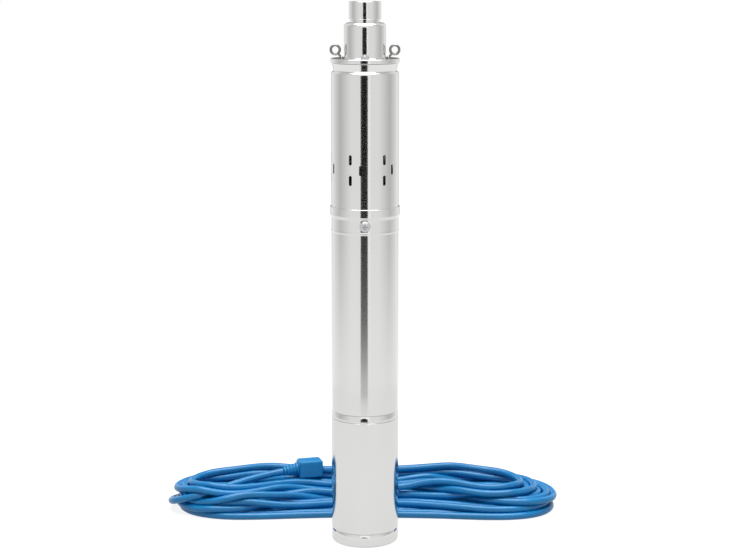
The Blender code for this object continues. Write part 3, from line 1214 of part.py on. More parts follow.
def make_plug():
    """Moulded plug with a tapered relief; its pins point away from the front."""
    length, depth, height = PLUG_BODY
    before, start = (Vector(point) for point in in_metres(TAIL_ROUTE[-2:]))
    run = start - before
    rest = HANK_REST + height / 2 - start.z
    place = Matrix.Translation(start) @ about_z(math.atan2(run.y, run.x))
    body_x = RELIEF_LENGTH + length / 2
    shape = bmesh.new()
    size = Matrix.Diagonal((length, depth, height, 1))
    bmesh.ops.create_cube(shape, size=1, matrix=Matrix.Translation((body_x, 0, rest)) @ size)
    plug = mesh_object("cable_plug", shape, BLUE)
    plug.matrix_world = place
    bevel = plug.modifiers.new("soften", "BEVEL")
    bevel.width = PLUG_EDGE
    bevel.segments = 2
    end = -RELIEF_LENGTH - OVERLAP
    profile = [(0, end), (RELIEF_END_RADIUS, end)]
    profile += [(RELIEF_START_RADIUS, -RELIEF_GAP), (0, -RELIEF_GAP)]
    relief = turned("plug_relief", profile[::-1], BLUE, TINY_STEPS, closed=False, collection=CUTTERS)
    tilt = math.atan2(run.z, math.hypot(run.x, run.y))
    relief.matrix_world = place @ Matrix.Rotation(-math.pi / 2 - tilt, 4, "Y")
    combine(plug, hide_cutter(bake(relief)), "UNION")
    for side in (-1, 1):
        centre = Matrix.Translation((body_x + side * PIN_SPACING / 2, 0, rest))
        turn = Matrix.Rotation(-math.pi / 2, 4, "X")
        out = depth / 2
        pin = cylinder_shape(PIN_RADIUS, out - OVERLAP, out + PIN_LENGTH, PIN_SIDES, place @ centre @ turn)
        combine(plug, hide_cutter(mesh_object(f"pin_{side + 1}", pin, BRASS, CUTTERS)), "UNION")
    bake(plug)


def main():
    """Builds every piece, from the bottom of the pump up, and then its cable."""
    make_bottom_cap()
    make_lower_housing()
    make_lower_carrier()
    make_capacitor()
    make_motor_tube()
    make_motor_head()
    make_head_screws()
    make_bearing("lower_bearing", LOWER_BEARING_Z)
    make_bearing("upper_bearing", UPPER_BEARING_Z)
    make_motor()
    make_shaft_seal()
    flex_low = make_coupling()
    make_flexible_shaft(flex_low)
    make_screw_rotor()
    make_stator()
    make_barrel()
    make_outlet_head()
    make_outlet_socket()
    make_eye_bolt("eye_bolt_left", -1)
    make_eye_bolt("eye_bolt_right", 1)
    make_flange_screw()
    make_cable_gland()
    make_inner_lead()
    make_check_valve()
    make_cable()


main()
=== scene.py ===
import json
import math

import bmesh
import bpy
import numpy as np
from bpy.props import FloatProperty, FloatVectorProperty, PointerProperty
from bpy.types import Operator, Panel, PropertyGroup
from mathutils import Matrix, Vector


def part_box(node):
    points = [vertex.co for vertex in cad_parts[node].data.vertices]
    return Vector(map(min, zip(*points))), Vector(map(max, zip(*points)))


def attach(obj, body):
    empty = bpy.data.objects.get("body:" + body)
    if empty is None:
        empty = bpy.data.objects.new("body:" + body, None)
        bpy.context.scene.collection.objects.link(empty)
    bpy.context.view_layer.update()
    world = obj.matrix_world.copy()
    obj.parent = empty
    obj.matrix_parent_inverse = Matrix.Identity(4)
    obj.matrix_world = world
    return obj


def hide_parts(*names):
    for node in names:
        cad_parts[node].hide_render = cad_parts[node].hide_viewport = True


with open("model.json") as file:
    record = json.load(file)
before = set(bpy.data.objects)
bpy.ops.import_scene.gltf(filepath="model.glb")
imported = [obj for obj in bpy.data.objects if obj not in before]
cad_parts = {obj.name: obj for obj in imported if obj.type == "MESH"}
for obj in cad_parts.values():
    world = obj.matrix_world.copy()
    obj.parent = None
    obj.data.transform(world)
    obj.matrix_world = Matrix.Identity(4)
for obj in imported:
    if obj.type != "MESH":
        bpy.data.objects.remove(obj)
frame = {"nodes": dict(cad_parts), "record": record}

bl_info = {
    "name": "Borehole pump",
    "version": (1, 0, 0),
    "blender": (4, 5, 0),
    "location": "View3D > Sidebar > Pump",
    "description": "Dresses a borehole submersible pump and its coiled supply cable for a studio picture",
    "category": "Object",
}

MM = 0.001
SMOOTH_ANGLE = math.radians(32)

# Turned steel
TUBE_STEPS = 192
SMALL_STEPS = 64
CAP_RING_HEIGHT = 7 * MM
CAP_RING_INSET = 2 * MM
CAP_EDGE_RADIUS = 3.4 * MM
BAND_INSET = 1.3 * MM
BAND_SKIN = 0.1 * MM
GAP = 0.3 * MM
LIP_EDGE = 0.7 * MM
TUBE_EDGE = 0.4 * MM
HOLD = 0.3 * MM
LONG_RUN = 6 * HOLD
BEAD_HEIGHT = 3.2 * MM
BEAD_BELOW_TOP = 27 * MM
BEAD_DEPTH = 0.5 * MM
LIP_HEIGHT = 9 * MM
LIP_STEP = 1.5 * MM
LIP_TAPER = 3.4 * MM
WALL = 1 * MM
RIM_STEP = 1 * MM
RIM_TAPER = 1.2 * MM
RIM_HEIGHT = 5.4 * MM
GROOVE_DEPTH = 2.8 * MM
GROOVE_BELOW_TOP = 8 * MM
GROOVE_SHOULDER = 4.2 * MM

# Intake slots
SLOT_GROUPS = 6
SLOT_HEIGHT = 11.3 * MM
SLOT_WIDTH = 3.6 * MM
SLOT_PITCH = 22.7 * MM
SLOTS_ABOVE_LIP = 43.1 * MM
FIRST_PAIR_ANGLE = math.radians(-25.5)
PAIR_TO_SINGLE_ANGLE = math.radians(18.1)

# Outlet
NECK_RADIUS = 23.2 * MM
SHOULDER_RADIUS = 4.5 * MM
NECK_FILLET = 0.8 * MM
FLANGE_HEIGHT = 4.7 * MM
COLLAR_HEIGHT = 19.5 * MM
COLLAR_EDGE = 0.6 * MM
UNDERCUT_RADIUS = 16.4 * MM
THREAD_MINOR = 15.15 * MM
THREAD_DEPTH = 1.48 * MM
THREAD_PITCH = 2.309 * MM
BORE_DEPTH = 21 * MM
SPIGOT_BORE = 12.8 * MM
SPIGOT_RADIUS = 15 * MM

# Small fasteners
RECESS_LENGTH = 6.4 * MM
RECESS_WIDTH = 1.2 * MM
RECESS_DEPTH = 1.6 * MM
EYE_RING_RADIUS = 4.95 * MM
EYE_WIRE = 1.45 * MM
EYE_STEM = 1.3 * MM
EYE_NUT_RADIUS = 2.1 * MM
EYE_NUT_ROOM = 1.8 * MM
GLAND_HEXAGON_HEIGHT = 6 * MM
GLAND_NUT_RADIUS = 5 * MM
GLAND_EDGE = 0.6 * MM

# Cable
CABLE_RADIUS = 4.25 * MM
BEAD_SPACING = 5 * MM
DROP_ROUTE = (
    (0, 30.2, 563.6), (0, 30.2, 571), (0, 35.5, 585), (0, 50, 595.5), (0, 67, 588), (0, 76.5, 566),
    (0, 81, 530), (1, 84, 440), (2, 86, 320), (0, 85, 200), (-3, 89, 110), (-6, 94, 70),
)
LANDING = ((-3, 95, 52), (8, 97, 38), (28, 100, 30.5), (54, 105, 29.5), (84, 115, 32.5))
TAIL_ROUTE = ((-201, 80, 25), (-176, 91.5, 30.5), (-147, 106.5, 36), (-119, 120, 40), (-99.5, 125.5, 42.6))
RISE = (
    (-70, 158, 5), (-130, 164, 6), (-180, 167, 8), (-212, 159, 10), (-233, 140, 12), (-239, 117, 14.5),
    (-234, 95, 18), (-220, 82.5, 22),
)
RELIEF_LENGTH = 19 * MM
RELIEF_START_RADIUS = 5.4 * MM
RELIEF_END_RADIUS = 7.4 * MM
PLUG_BODY = (29 * MM, 20 * MM, 21 * MM)
PLUG_EDGE = 2.6 * MM
PLUG_REST = 34.3 * MM
RELIEF_RIBS = 5
RELIEF_GAP = 0.6 * MM
PIN_RADIUS = 2.4 * MM
PIN_LENGTH = 19 * MM
PIN_SPACING = 19 * MM

# Turns of the hank from the top down, in mm: y and z of the front run and of the back run at the middle, then
# half the depth and the height at the ends, and the left and right end
TURNS = (
    (134, 37, 140, 45, 36, 35, -214, 190), (125, 29, 143, 37, 33, 27.3, -222, 199),
    (129, 21, 134, 29, 42, 27.3, -231, 208), (120, 21, 142, 29, 29, 19.6, -206, 213),
    (111, 21, 138, 21, 38, 19.6, -215, 222), (125, 12.6, 147, 21, 47, 19.6, -224, 231),
    (115, 12.6, 134, 12.6, 32.5, 12, -209, 207), (106, 12.6, 143, 12.6, 41, 12, -218, 216),
    (97, 12.6, 152, 12.6, 50, 12, -227, 225), (111, 4.3, 120, 4.3, 25.5, 12, -200, 196),
    (102, 4.3, 129, 4.3, 25.5, 4.3, -208, 199), (93.5, 4.3, 138, 4.3, 34, 4.3, -217, 208),
    (85, 4.3, 147, 4.3, 42.7, 4.3, -226, 217), (76.5, 4.3, 156, 4.3, 51.5, 4.3, -235, 226),
)
HANK_LOW = Vector((-236, 66.5, 4.25)) * MM
HANK_HIGH = Vector((234, 176.5, 60)) * MM
HANK_Y = 119 * MM

# Studio
CAMERA_DISTANCE = 2.0
CAMERA_HEIGHT = 0.66
CAMERA_TILT = math.radians(8.78)
CAMERA_LENS = 89.1
CAMERA_SHIFT = -0.06
FLOOR_RADIUS = 0.78
FLOOR_BELOW = 0.1 * MM
GLOW_IN_MIRRORS = 0.7
GLOW_ON_OTHERS = 0.2
LAMP_PLACE = (0, -0.2, 2.6)

# Values between which nearly all of a noise pattern lies
NOISE_BAND = (0.3, 0.7)

# Settling of the cable's beads on each other
SETTLE_ROUNDS = 260
SETTLE_FALL = 0.02 * MM
SETTLE_LAST_FALL = 0.005 * MM
SETTLE_STIFFNESS = ((1, 0.25), (3, 0.12))
SMOOTH_ROUNDS = 40
SMOOTH_SHARE = 0.4
TURN_POINTS = 120
BLEND_POINTS = 30
SWAY = (1.5 * MM, 2 * MM, 1 * MM)


def linear(code):
    """The linear colour of an sRGB hex code such as C8C8C4."""
    parts = [int(code[i:i + 2], 16) / 255 for i in (0, 2, 4)]
    return [*(c / 12.92 if c <= 0.04045 else ((c + 0.055) / 1.055) ** 2.4 for c in parts), 1.0]


def grey(level):
    """The linear grey of an sRGB level from 0 to 255."""
    return linear(f"{level:02X}" * 3)


def add_node(tree, kind, links=None, **settings):
    """Adds a shader node with its settings, and links or sets the named inputs."""
    node = tree.nodes.new(kind)
    for name, value in settings.items():
        setattr(node, name, value)
    for name, value in (links or {}).items():
        target = node.inputs[name]
        if isinstance(value, bpy.types.NodeSocket):
            tree.links.new(value, target)
        else:
            target.default_value = value
    return node


def new_material(name, colour, roughness, metallic=0.0, **inputs):
    """A material with a Principled shader; gives back the material, its node tree and the shader."""
    finish = bpy.data.materials.new(name)
    finish.use_nodes = True
    tree = finish.node_tree
    shader = tree.nodes["Principled BSDF"]
    shader.inputs["Base Color"].default_value = colour
    shader.inputs["Roughness"].default_value = roughness
    shader.inputs["Metallic"].default_value = metallic
    for name, value in inputs.items():
        shader.inputs[name].default_value = value
    finish.diffuse_color = colour
    return finish, tree, shader


def object_place(tree, scale=(1, 1, 1)):
    """The object's own coordinates in metres, stretched by a scale."""
    place = add_node(tree, "ShaderNodeTexCoord").outputs["Object"]
    return add_node(tree, "ShaderNodeMapping", {"Vector": place, "Scale": scale}).outputs["Vector"]


def noise(tree, vector, scale, detail=3.0):
    """Noise value with a number of cells per metre."""
    links = {"Vector": vector, "Scale": scale, "Detail": detail}
    return add_node(tree, "ShaderNodeTexNoise", links).outputs["Fac"]


def spread(tree, value, low, high, start=0.0, end=1.0):
    """Maps a value from start..end to low..high."""
    links = {"Value": value, "From Min": start, "From Max": end, "To Min": low, "To Max": high}
    return add_node(tree, "ShaderNodeMapRange", links).outputs["Result"]


def mix_colours(tree, share, first, second):
    """Mixes two colours, each a socket or a value."""
    links = {"Factor": share, "A": first, "B": second}
    return add_node(tree, "ShaderNodeMix", links, data_type="RGBA").outputs["Result"]


def sums(tree, operation, first, second):
    """One step of arithmetic on values."""
    return add_node(tree, "ShaderNodeMath", {0: first, 1: second}, operation=operation).outputs["Value"]


def patterned(tree, shader, value, roughness=None, colours=None, depth=None):
    """Lets a pattern vary the roughness and the colour, and raise the surface by a depth in metres."""
    if roughness:
        tree.links.new(spread(tree, value, *roughness, *NOISE_BAND), shader.inputs["Roughness"])
    if colours:
        tree.links.new(mix_colours(tree, value, *colours), shader.inputs["Base Color"])
    if depth:
        bump = add_node(tree, "ShaderNodeBump", {"Height": value, "Distance": depth, "Strength": 1.0})
        tree.links.new(bump.outputs["Normal"], shader.inputs["Normal"])


def polished_steel():
    """Mirror-polished stainless tube; fine marks round the axis blur its reflections only a little."""
    finish, tree, shader = new_material("polished_steel", linear("E0E0DE"), 0.04, 1.0)
    rings = noise(tree, object_place(tree, (20, 20, 900)), 1.0, 4.0)
    clouds = noise(tree, object_place(tree), 26.0)
    tone = sums(tree, "MULTIPLY", rings, clouds)
    tree.links.new(spread(tree, tone, 0.015, 0.035, 0.1, 0.5), shader.inputs["Roughness"])
    patterned(tree, shader, clouds, None, (linear("DCDCDA"), linear("E4E4E2")))
    return finish


def forged_steel():
    """Forged and barrel-finished eye bolts; duller than the tubes, so the rings keep their round shading."""
    finish, tree, shader = new_material("forged_steel", linear("8A8A88"), 0.32, 1.0)
    pits = noise(tree, object_place(tree), 900.0)
    patterned(tree, shader, pits, (0.26, 0.4), (linear("7C7C7A"), linear("969694")), 0.02 * MM)
    return finish


def turned_steel():
    """Stainless screws and shafts as they leave the lathe; tool marks round the axis give a satin shine."""
    finish, tree, shader = new_material("turned_steel", linear("CFCFCC"), 0.2, 1.0)
    marks = noise(tree, object_place(tree, (60, 60, 1400)), 1.0)
    patterned(tree, shader, marks, (0.14, 0.32), (linear("C6C6C4"), linear("D8D8D4")), 0.02 * MM)
    return finish


def cast_metal():
    """Sand-cast aluminium housings; the grainy skin scatters the light."""
    finish, tree, shader = new_material("cast_metal", linear("B9BABC"), 0.45, 1.0)
    grain = noise(tree, object_place(tree), 900.0, 4.0)
    patterned(tree, shader, grain, (0.36, 0.58), (linear("A9AAAD"), linear("C5C6C8")), 0.12 * MM)
    return finish


def laminations():
    """Stacked electrical sheet; its edges, drawn at 2 mm where real ones are 0.5 mm, give fine dark lines."""
    finish, tree, shader = new_material("laminations", linear("6E7075"), 0.5, 0.9)
    sheets = add_node(
        tree, "ShaderNodeTexWave", {"Vector": object_place(tree), "Scale": 500 / math.tau, "Distortion": 0.4},
        wave_type="BANDS", bands_direction="Z", wave_profile="SIN",
    ).outputs["Fac"]
    patterned(tree, shader, sheets, None, (linear("4C4E52"), linear("84868A")), 0.2 * MM)
    return finish


def windings():
    """Enamelled copper end turns under varnish; wire rings 1.5 mm apart raise a bump and paint shade into the
    grooves between wires and a highlight on their crowns.
    """
    finish, tree, shader = new_material("windings", linear("B0602A"), 0.28, 0.6, **{"Coat Weight": 0.6})
    wire_bump_and_painted_shade = add_node(
        tree, "ShaderNodeTexWave", {"Vector": object_place(tree), "Scale": 650 / math.tau, "Distortion": 6.0},
        wave_type="RINGS", rings_direction="Z", wave_profile="SIN",
    ).outputs["Fac"]
    # The wire pattern also paints shade into the grooves and a highlight on the crowns, following the bump.
    patterned(tree, shader, wire_bump_and_painted_shade, None, (linear("7A3A16"), linear("C4763A")), 0.4 * MM)
    return finish


def black_rubber():
    """Moulded nitrile rubber; a fine matt grain keeps the highlights broad and weak."""
    finish, tree, shader = new_material("black_rubber", linear("242426"), 0.62)
    grain = noise(tree, object_place(tree), 1500.0)
    patterned(tree, shader, grain, (0.5, 0.75), (linear("1C1C1E"), linear("2E2E30")), 0.06 * MM)
    return finish


def white_plastic():
    """Injection-moulded acetal and ceramic white; a soft sheen with faint flow clouds."""
    finish, tree, shader = new_material("white_plastic", linear("E6E5E0"), 0.38, **{"IOR": 1.48})
    clouds = noise(tree, object_place(tree), 120.0)
    patterned(tree, shader, clouds, (0.32, 0.46), (linear("DCDBD5"), linear("EEEDE9")))
    return finish


def cable_jacket(colour, roughness):
    """Extruded blue rubber jacket; smooth along the cable, so each strand carries a pale line of light."""
    finish, tree, shader = new_material("cable_jacket", colour, roughness, **{"IOR": 1.5})
    drift = noise(tree, object_place(tree), 35.0)
    grain = noise(tree, object_place(tree), 1100.0, 2.0)
    darker = [c * 0.8 for c in colour[:3]] + [1.0]
    lighter = [min(1.0, c * 1.18 + 0.004) for c in colour[:3]] + [1.0]
    patterned(tree, shader, drift, None, (darker, lighter))
    patterned(tree, shader, grain, (roughness - 0.05, roughness + 0.08), None, 0.03 * MM)
    return finish


def plug_plastic(colour):
    """Moulded blue PVC of the plug; a fine spark-eroded grain makes it softer than the cable."""
    finish, tree, shader = new_material("plug_plastic", colour, 0.42, **{"IOR": 1.52})
    grain = noise(tree, object_place(tree), 1300.0)
    darker = [c * 0.86 for c in colour[:3]] + [1.0]
    patterned(tree, shader, grain, (0.36, 0.5), (darker, colour), 0.05 * MM)
    return finish


def plated_pins():
    """Nickel-plated brass pins, bright and smooth with light wear marks."""
    finish, tree, shader = new_material("plated_pins", linear("D2CDBE"), 0.18, 1.0)
    wear = noise(tree, object_place(tree, (300, 300, 60)), 1.0)
    patterned(tree, shader, wear, (0.12, 0.28), (linear("C6C0AE"), linear("DCD8CC")))
    return finish


def floor_paint(colour, glow):
    """Pale studio board; it glows to keep the ground as white as the picture's, and less so in mirrors."""
    finish, tree, shader = new_material("floor_paint", colour, 0.8)
    patterned(tree, shader, noise(tree, object_place(tree), 3.0), (0.75, 0.85))
    shader.inputs["Emission Color"].default_value = (1, 1, 1, 1)
    seen = add_node(tree, "ShaderNodeLightPath")
    mirrored = spread(tree, seen.outputs["Is Glossy Ray"], glow * GLOW_ON_OTHERS, glow * GLOW_IN_MIRRORS)
    strength = spread(tree, seen.outputs["Is Camera Ray"], mirrored, glow)
    tree.links.new(strength, shader.inputs["Emission Strength"])
    return finish


def material(name):
    """A material that an operator has made, or the one of that name made now."""
    found = bpy.data.materials.get(name)
    if found is None:
        found = FINISHES[name]()
    return found


FINISHES = {
    maker.__name__: maker
    for maker in (
        polished_steel, forged_steel, turned_steel, cast_metal, laminations, windings, black_rubber,
        white_plastic, plated_pins,
    )
}


def place_piece(item, body, slot, finish, *nodes):
    """Gives a finished piece its material and body, and hides the CAD nodes that it stands for; the slot is
    not used.
    """
    item.data.materials.clear()
    item.data.materials.append(finish)
    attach(item, body)
    if nodes:
        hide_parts(*nodes)
    return item


def add_object(name, mesh):
    item = bpy.data.objects.new(name, mesh)
    bpy.context.scene.collection.objects.link(item)
    return item


def smooth(mesh, angle=SMOOTH_ANGLE):
    """Smooth shading with sharp edges above an angle."""
    mesh.polygons.foreach_set("use_smooth", [True] * len(mesh.polygons))
    mesh.set_sharp_from_angle(angle=angle)
    return mesh


def baked(item):
    """The object's mesh with its modifiers applied, in place of the object."""
    bpy.context.view_layer.update()
    evaluated = item.evaluated_get(bpy.context.evaluated_depsgraph_get())
    mesh = bpy.data.meshes.new_from_object(evaluated)
    old = item.data
    item.modifiers.clear()
    item.data = mesh
    if old.users == 0 and isinstance(old, bpy.types.Mesh):
        bpy.data.meshes.remove(old)
    return item


def arc(centre_radius, centre_height, radius, start, end, steps):
    """Points of an arc in a profile; angles in degrees from the outward direction."""
    points = []
    for i in range(steps + 1):
        angle = math.radians(start + (end - start) * i / steps)
        points.append((centre_radius + radius * math.cos(angle), centre_height + radius * math.sin(angle)))
    return points


def bulge(radius, low, high, rise, steps=12):
    """Profile points from high to low of a wall that swells outwards by rise."""
    points = []
    for i in range(steps + 1):
        share = i / steps
        points.append((radius + rise * math.sin(math.pi * share), high + (low - high) * share))
    return points


def rolled(radius, high, low, inset, steps=16):
    """Profile points of a rolled edge, from its narrow top down to its full radius."""
    points = []
    for i in range(steps + 1):
        angle = math.pi / 2 * i / steps
        points.append((radius - inset * (1 - math.sin(angle)), low + (high - low) * math.cos(angle)))
    return points


def eased(first, second, steps=10):
    """Profile points of a smooth S from one point to another, both tangent to the axis."""
    points = []
    for i in range(steps + 1):
        share = i / steps
        turn = share * share * (3 - 2 * share)
        points.append((first[0] + (second[0] - first[0]) * turn, first[1] + (second[1] - first[1]) * share))
    return points


def held(profile):
    """The profile with points just inside the ends of its long runs, so smoothing stays at the corners."""
    points = [profile[0]]
    for first, second in zip(profile, profile[1:]):
        length = math.dist(first, second)
        if length > LONG_RUN:
            for share in (HOLD / length, 1 - HOLD / length):
                points.append(tuple(a + (b - a) * share for a, b in zip(first, second)))
        points.append(second)
    return points


def turned(name, profile, steps=TUBE_STEPS, closed=True):
    """A profile of radius and height turned round the pump's axis."""
    profile = held(profile)
    shape = bmesh.new()
    corners = [shape.verts.new((radius, 0, height)) for radius, height in profile]
    for first, second in zip(corners, corners[1:]):
        shape.edges.new((first, second))
    if closed:
        shape.edges.new((corners[-1], corners[0]))
    mesh = bpy.data.meshes.new(name)
    shape.to_mesh(mesh)
    shape.free()
    item = add_object(name, mesh)
    screw = item.modifiers.new("turn", "SCREW")
    screw.axis = "Z"
    screw.steps = steps
    screw.render_steps = steps
    screw.use_merge_vertices = True
    screw.merge_threshold = 0.00001
    screw.use_normal_calculate = True
    baked(item)
    outward(item.data)
    smooth(item.data)
    return item


def outward(mesh):
    """Turns every face outwards."""
    shape = bmesh.new()
    shape.from_mesh(mesh)
    bmesh.ops.recalc_face_normals(shape, faces=shape.faces)
    shape.to_mesh(mesh)
    shape.free()


def about_z(angle):
    return Matrix.Rotation(angle, 4, "Z")


def radial_place(height, angle=0):
    """Turns Z to point out of the front, at a height."""
    return Matrix.Translation((0, 0, height)) @ about_z(angle) @ Matrix.Rotation(math.pi / 2, 4, "X")


def move(item, place):
    """Moves the mesh's own points, so the object stays at the origin."""
    item.data.transform(place)
    item.data.update()
    return item


def cut(item, cutter, operation="DIFFERENCE"):
    """Cuts an object with another and removes the cutter."""
    modifier = item.modifiers.new("cut", "BOOLEAN")
    modifier.operation = operation
    modifier.solver = "EXACT"
    modifier.object = cutter
    baked(item)
    mesh = cutter.data
    bpy.data.objects.remove(cutter)
    bpy.data.meshes.remove(mesh)
    return item


def cylinder(name, radius, low, high, sides, place=None):
    """A closed cylinder along Z, then moved to a place."""
    shape = bmesh.new()
    middle = Matrix.Translation((0, 0, (low + high) / 2))
    bmesh.ops.create_cone(
        shape, cap_ends=True, segments=sides, radius1=radius, radius2=radius, depth=high - low,
        matrix=(place or Matrix.Identity(4)) @ middle,
    )
    mesh = bpy.data.meshes.new(name)
    shape.to_mesh(mesh)
    shape.free()
    return add_object(name, mesh)


def block(name, size, place):
    """A box of a size at a place."""
    shape = bmesh.new()
    bmesh.ops.create_cube(shape, size=1, matrix=place @ Matrix.Diagonal((*size, 1)))
    mesh = bpy.data.meshes.new(name)
    shape.to_mesh(mesh)
    shape.free()
    return add_object(name, mesh)


def rounded(item, width, segments=4, angle=math.radians(35)):
    """Bevels the sharp edges."""
    bevel = item.modifiers.new("edges", "BEVEL")
    bevel.width = width
    bevel.segments = segments
    bevel.limit_method = "ANGLE"
    bevel.angle_limit = angle
    baked(item)
    smooth(item.data)
    return item


def join(name, items):
    """Joins meshes that stay separate shells into one object."""
    shape = bmesh.new()
    for item in items:
        shape.from_mesh(item.data)
    mesh = bpy.data.meshes.new(name)
    shape.to_mesh(mesh)
    shape.free()
    for item in items:
        old = item.data
        bpy.data.objects.remove(item)
        bpy.data.meshes.remove(old)
    return add_object(name, smooth(mesh))


def span(node):
    """Radius about the pump's axis, lowest and highest level of a turned CAD node."""
    low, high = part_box(node)
    return high.x, low.z, high.z


def make_bottom_cap():
    """Cap with a rolled ring at its top, a flat side and a rounded foot."""
    radius, low, top = span("bottom_cap")
    ledge = span("lower_housing")[1] - GAP
    spigot = span("lower_housing")[0] - WALL - GAP
    profile = [(0, top), (spigot, top), (spigot, ledge)]
    profile += rolled(radius, ledge, ledge - CAP_RING_HEIGHT, CAP_RING_INSET)
    profile += arc(radius - CAP_EDGE_RADIUS, low + CAP_EDGE_RADIUS, CAP_EDGE_RADIUS, 0, -90, 8)
    profile += [(0, low)]
    return turned("cap", profile, closed=False)


def tube_profile(radius, low, high, wall=WALL, edge=TUBE_EDGE):
    """Plain tube with rounded ends."""
    profile = arc(radius - edge, high - edge, edge, 90, 0, 4)
    profile += arc(radius - edge, low + edge, edge, 0, -90, 4)
    profile += [(radius - wall, low), (radius - wall, high)]
    return profile


def make_band():
    """Rolled ring between the motor tube and the lower housing."""
    outer = span("lower_carrier")[0] + BAND_SKIN
    low, high = span("lower_housing")[2] + GAP - BAND_SKIN, span("motor_tube")[1] - GAP + BAND_SKIN
    inner = outer - BAND_INSET - WALL
    profile = rolled(outer, high, low, BAND_INSET)
    profile += [(inner, low), (inner, high)]
    return turned("band", profile)


def make_motor_tube():
    """Motor tube with a faint bead and a flared lip round the barrel's end."""
    lip, low, top = span("motor_tube")
    radius = lip - LIP_STEP
    lip_low = top - LIP_HEIGHT
    bead = top - BEAD_BELOW_TOP
    profile = arc(lip - LIP_EDGE, top - LIP_EDGE, LIP_EDGE, 90, 0, 6)
    profile += eased((lip, lip_low), (radius, lip_low - LIP_TAPER))
    profile += bulge(radius, bead - BEAD_HEIGHT / 2, bead + BEAD_HEIGHT / 2, BEAD_DEPTH)
    profile += arc(radius - TUBE_EDGE, low + TUBE_EDGE, TUBE_EDGE, 0, -90, 4)
    profile += [(radius - WALL, low), (radius - WALL, lip_low - LIP_TAPER - 1 * MM)]
    profile += [(lip - 1.1 * MM, lip_low), (lip - 1.1 * MM, top)]
    return turned("motor_casing", profile)


def slot_cutter(angle, height, radius):
    """An upright slot with round ends, reaching through the barrel's wall."""
    shape = bmesh.new()
    half = (SLOT_HEIGHT - SLOT_WIDTH) / 2
    corners = []
    for end, start in ((1, 0), (-1, 180)):
        for i in range(13):
            turn = math.radians(start + 180 * i / 12)
            x, y = SLOT_WIDTH / 2 * math.cos(turn), end * half + SLOT_WIDTH / 2 * math.sin(turn)
            corners.append(shape.verts.new((x, y, -4 * MM)))
    face = shape.faces.new(corners)
    lifted = bmesh.ops.extrude_face_region(shape, geom=[face])["geom"]
    moved = [v for v in lifted if isinstance(v, bmesh.types.BMVert)]
    bmesh.ops.translate(shape, verts=moved, vec=(0, 0, 8 * MM))
    bmesh.ops.recalc_face_normals(shape, faces=shape.faces)
    mesh = bpy.data.meshes.new("slot")
    shape.to_mesh(mesh)
    shape.free()
    mesh.transform(radial_place(height, angle) @ Matrix.Translation((0, 0, radius)))
    return add_object("slot", mesh)


def radial_normals(mesh, radius):
    """Gives the plain outer wall exact normals, so that the cut faces mirror as the whole tube does."""
    points = np.empty(len(mesh.vertices) * 3)
    mesh.vertices.foreach_get("co", points)
    points = points.reshape(-1, 3)
    normals = np.empty(len(mesh.loops) * 3, np.float32)
    mesh.corner_normals.foreach_get("vector", normals)
    normals = normals.reshape(-1, 3)
    for face in mesh.polygons:
        if abs(face.normal.z) > 0.02:
            continue
        middle = face.center
        if math.hypot(middle.x, middle.y) < radius - 0.3 * MM:
            continue
        if face.normal.x * middle.x + face.normal.y * middle.y < 0.98 * math.hypot(middle.x, middle.y):
            continue
        for loop in face.loop_indices:
            x, y, _ = points[mesh.loops[loop].vertex_index]
            size = math.hypot(x, y)
            normals[loop] = (x / size, y / size, 0)
    mesh.normals_split_custom_set(normals.tolist())


def make_barrel():
    """Pump barrel with a rolled groove near its top and the intake slots."""
    radius, low, top = span("barrel")
    rim, taper = radius - RIM_STEP, radius - RIM_STEP - RIM_TAPER
    taper_low, floor = top - RIM_HEIGHT, radius - GROOVE_DEPTH
    groove = top - GROOVE_BELOW_TOP
    inner = radius - WALL
    profile = arc(rim - TUBE_EDGE, top - TUBE_EDGE, TUBE_EDGE, 90, 0, 4)
    profile += [(taper, taper_low), (taper - 0.15 * MM, taper_low - 0.5 * MM)]
    profile += [(floor + 0.1 * MM, groove + 0.5 * MM), (floor, groove), (floor, groove - 0.5 * MM)]
    profile += rolled(radius, groove - 0.9 * MM, groove - GROOVE_SHOULDER, GROOVE_DEPTH)[1:]
    profile += [(radius, low), (inner, low), (inner, groove - GROOVE_SHOULDER)]
    profile += [(floor - WALL, groove), (taper - WALL, taper_low), (rim - WALL, top)]
    barrel = turned("casing", profile)
    middle = span("motor_tube")[2] + SLOTS_ABOVE_LIP
    cutters = []
    for group in range(SLOT_GROUPS):
        pair = FIRST_PAIR_ANGLE + math.tau * group / SLOT_GROUPS
        cutters.append(slot_cutter(pair, middle + SLOT_PITCH / 2, radius))
        cutters.append(slot_cutter(pair, middle - SLOT_PITCH / 2, radius))
        cutters.append(slot_cutter(pair + PAIR_TO_SINGLE_ANGLE, middle, radius))
    cut(barrel, join("slots", cutters))
    smooth(barrel.data)
    radial_normals(barrel.data, radius)
    return barrel


def make_outlet_head():
    """Flange, neck with a rounded shoulder, and the skirt inside the barrel."""
    radius, low, top = span("outlet_head")
    flange_low = span("barrel")[2] + GAP
    flange_top = flange_low + FLANGE_HEIGHT
    skirt = span("barrel")[0] - WALL - GROOVE_DEPTH - GAP
    edge = 0.9 * MM
    profile = [(SPIGOT_RADIUS + 0.3 * MM, top)]
    profile += arc(NECK_RADIUS - SHOULDER_RADIUS, top - SHOULDER_RADIUS, SHOULDER_RADIUS, 90, 0, 12)
    profile += arc(NECK_RADIUS + NECK_FILLET, flange_top + NECK_FILLET, NECK_FILLET, 180, 270, 6)
    profile += arc(radius - edge, flange_top - edge, edge, 90, 0, 6)
    profile += arc(radius - TUBE_EDGE, flange_low + TUBE_EDGE, TUBE_EDGE, 0, -90, 3)
    profile += [(skirt, flange_low), (skirt, low)]
    profile += [(skirt - 2 * MM, low), (skirt - 2 * MM, flange_low - 3 * MM)]
    profile += [(SPIGOT_RADIUS + 0.3 * MM, flange_low - 3 * MM)]
    return turned("neck_and_flange", profile)


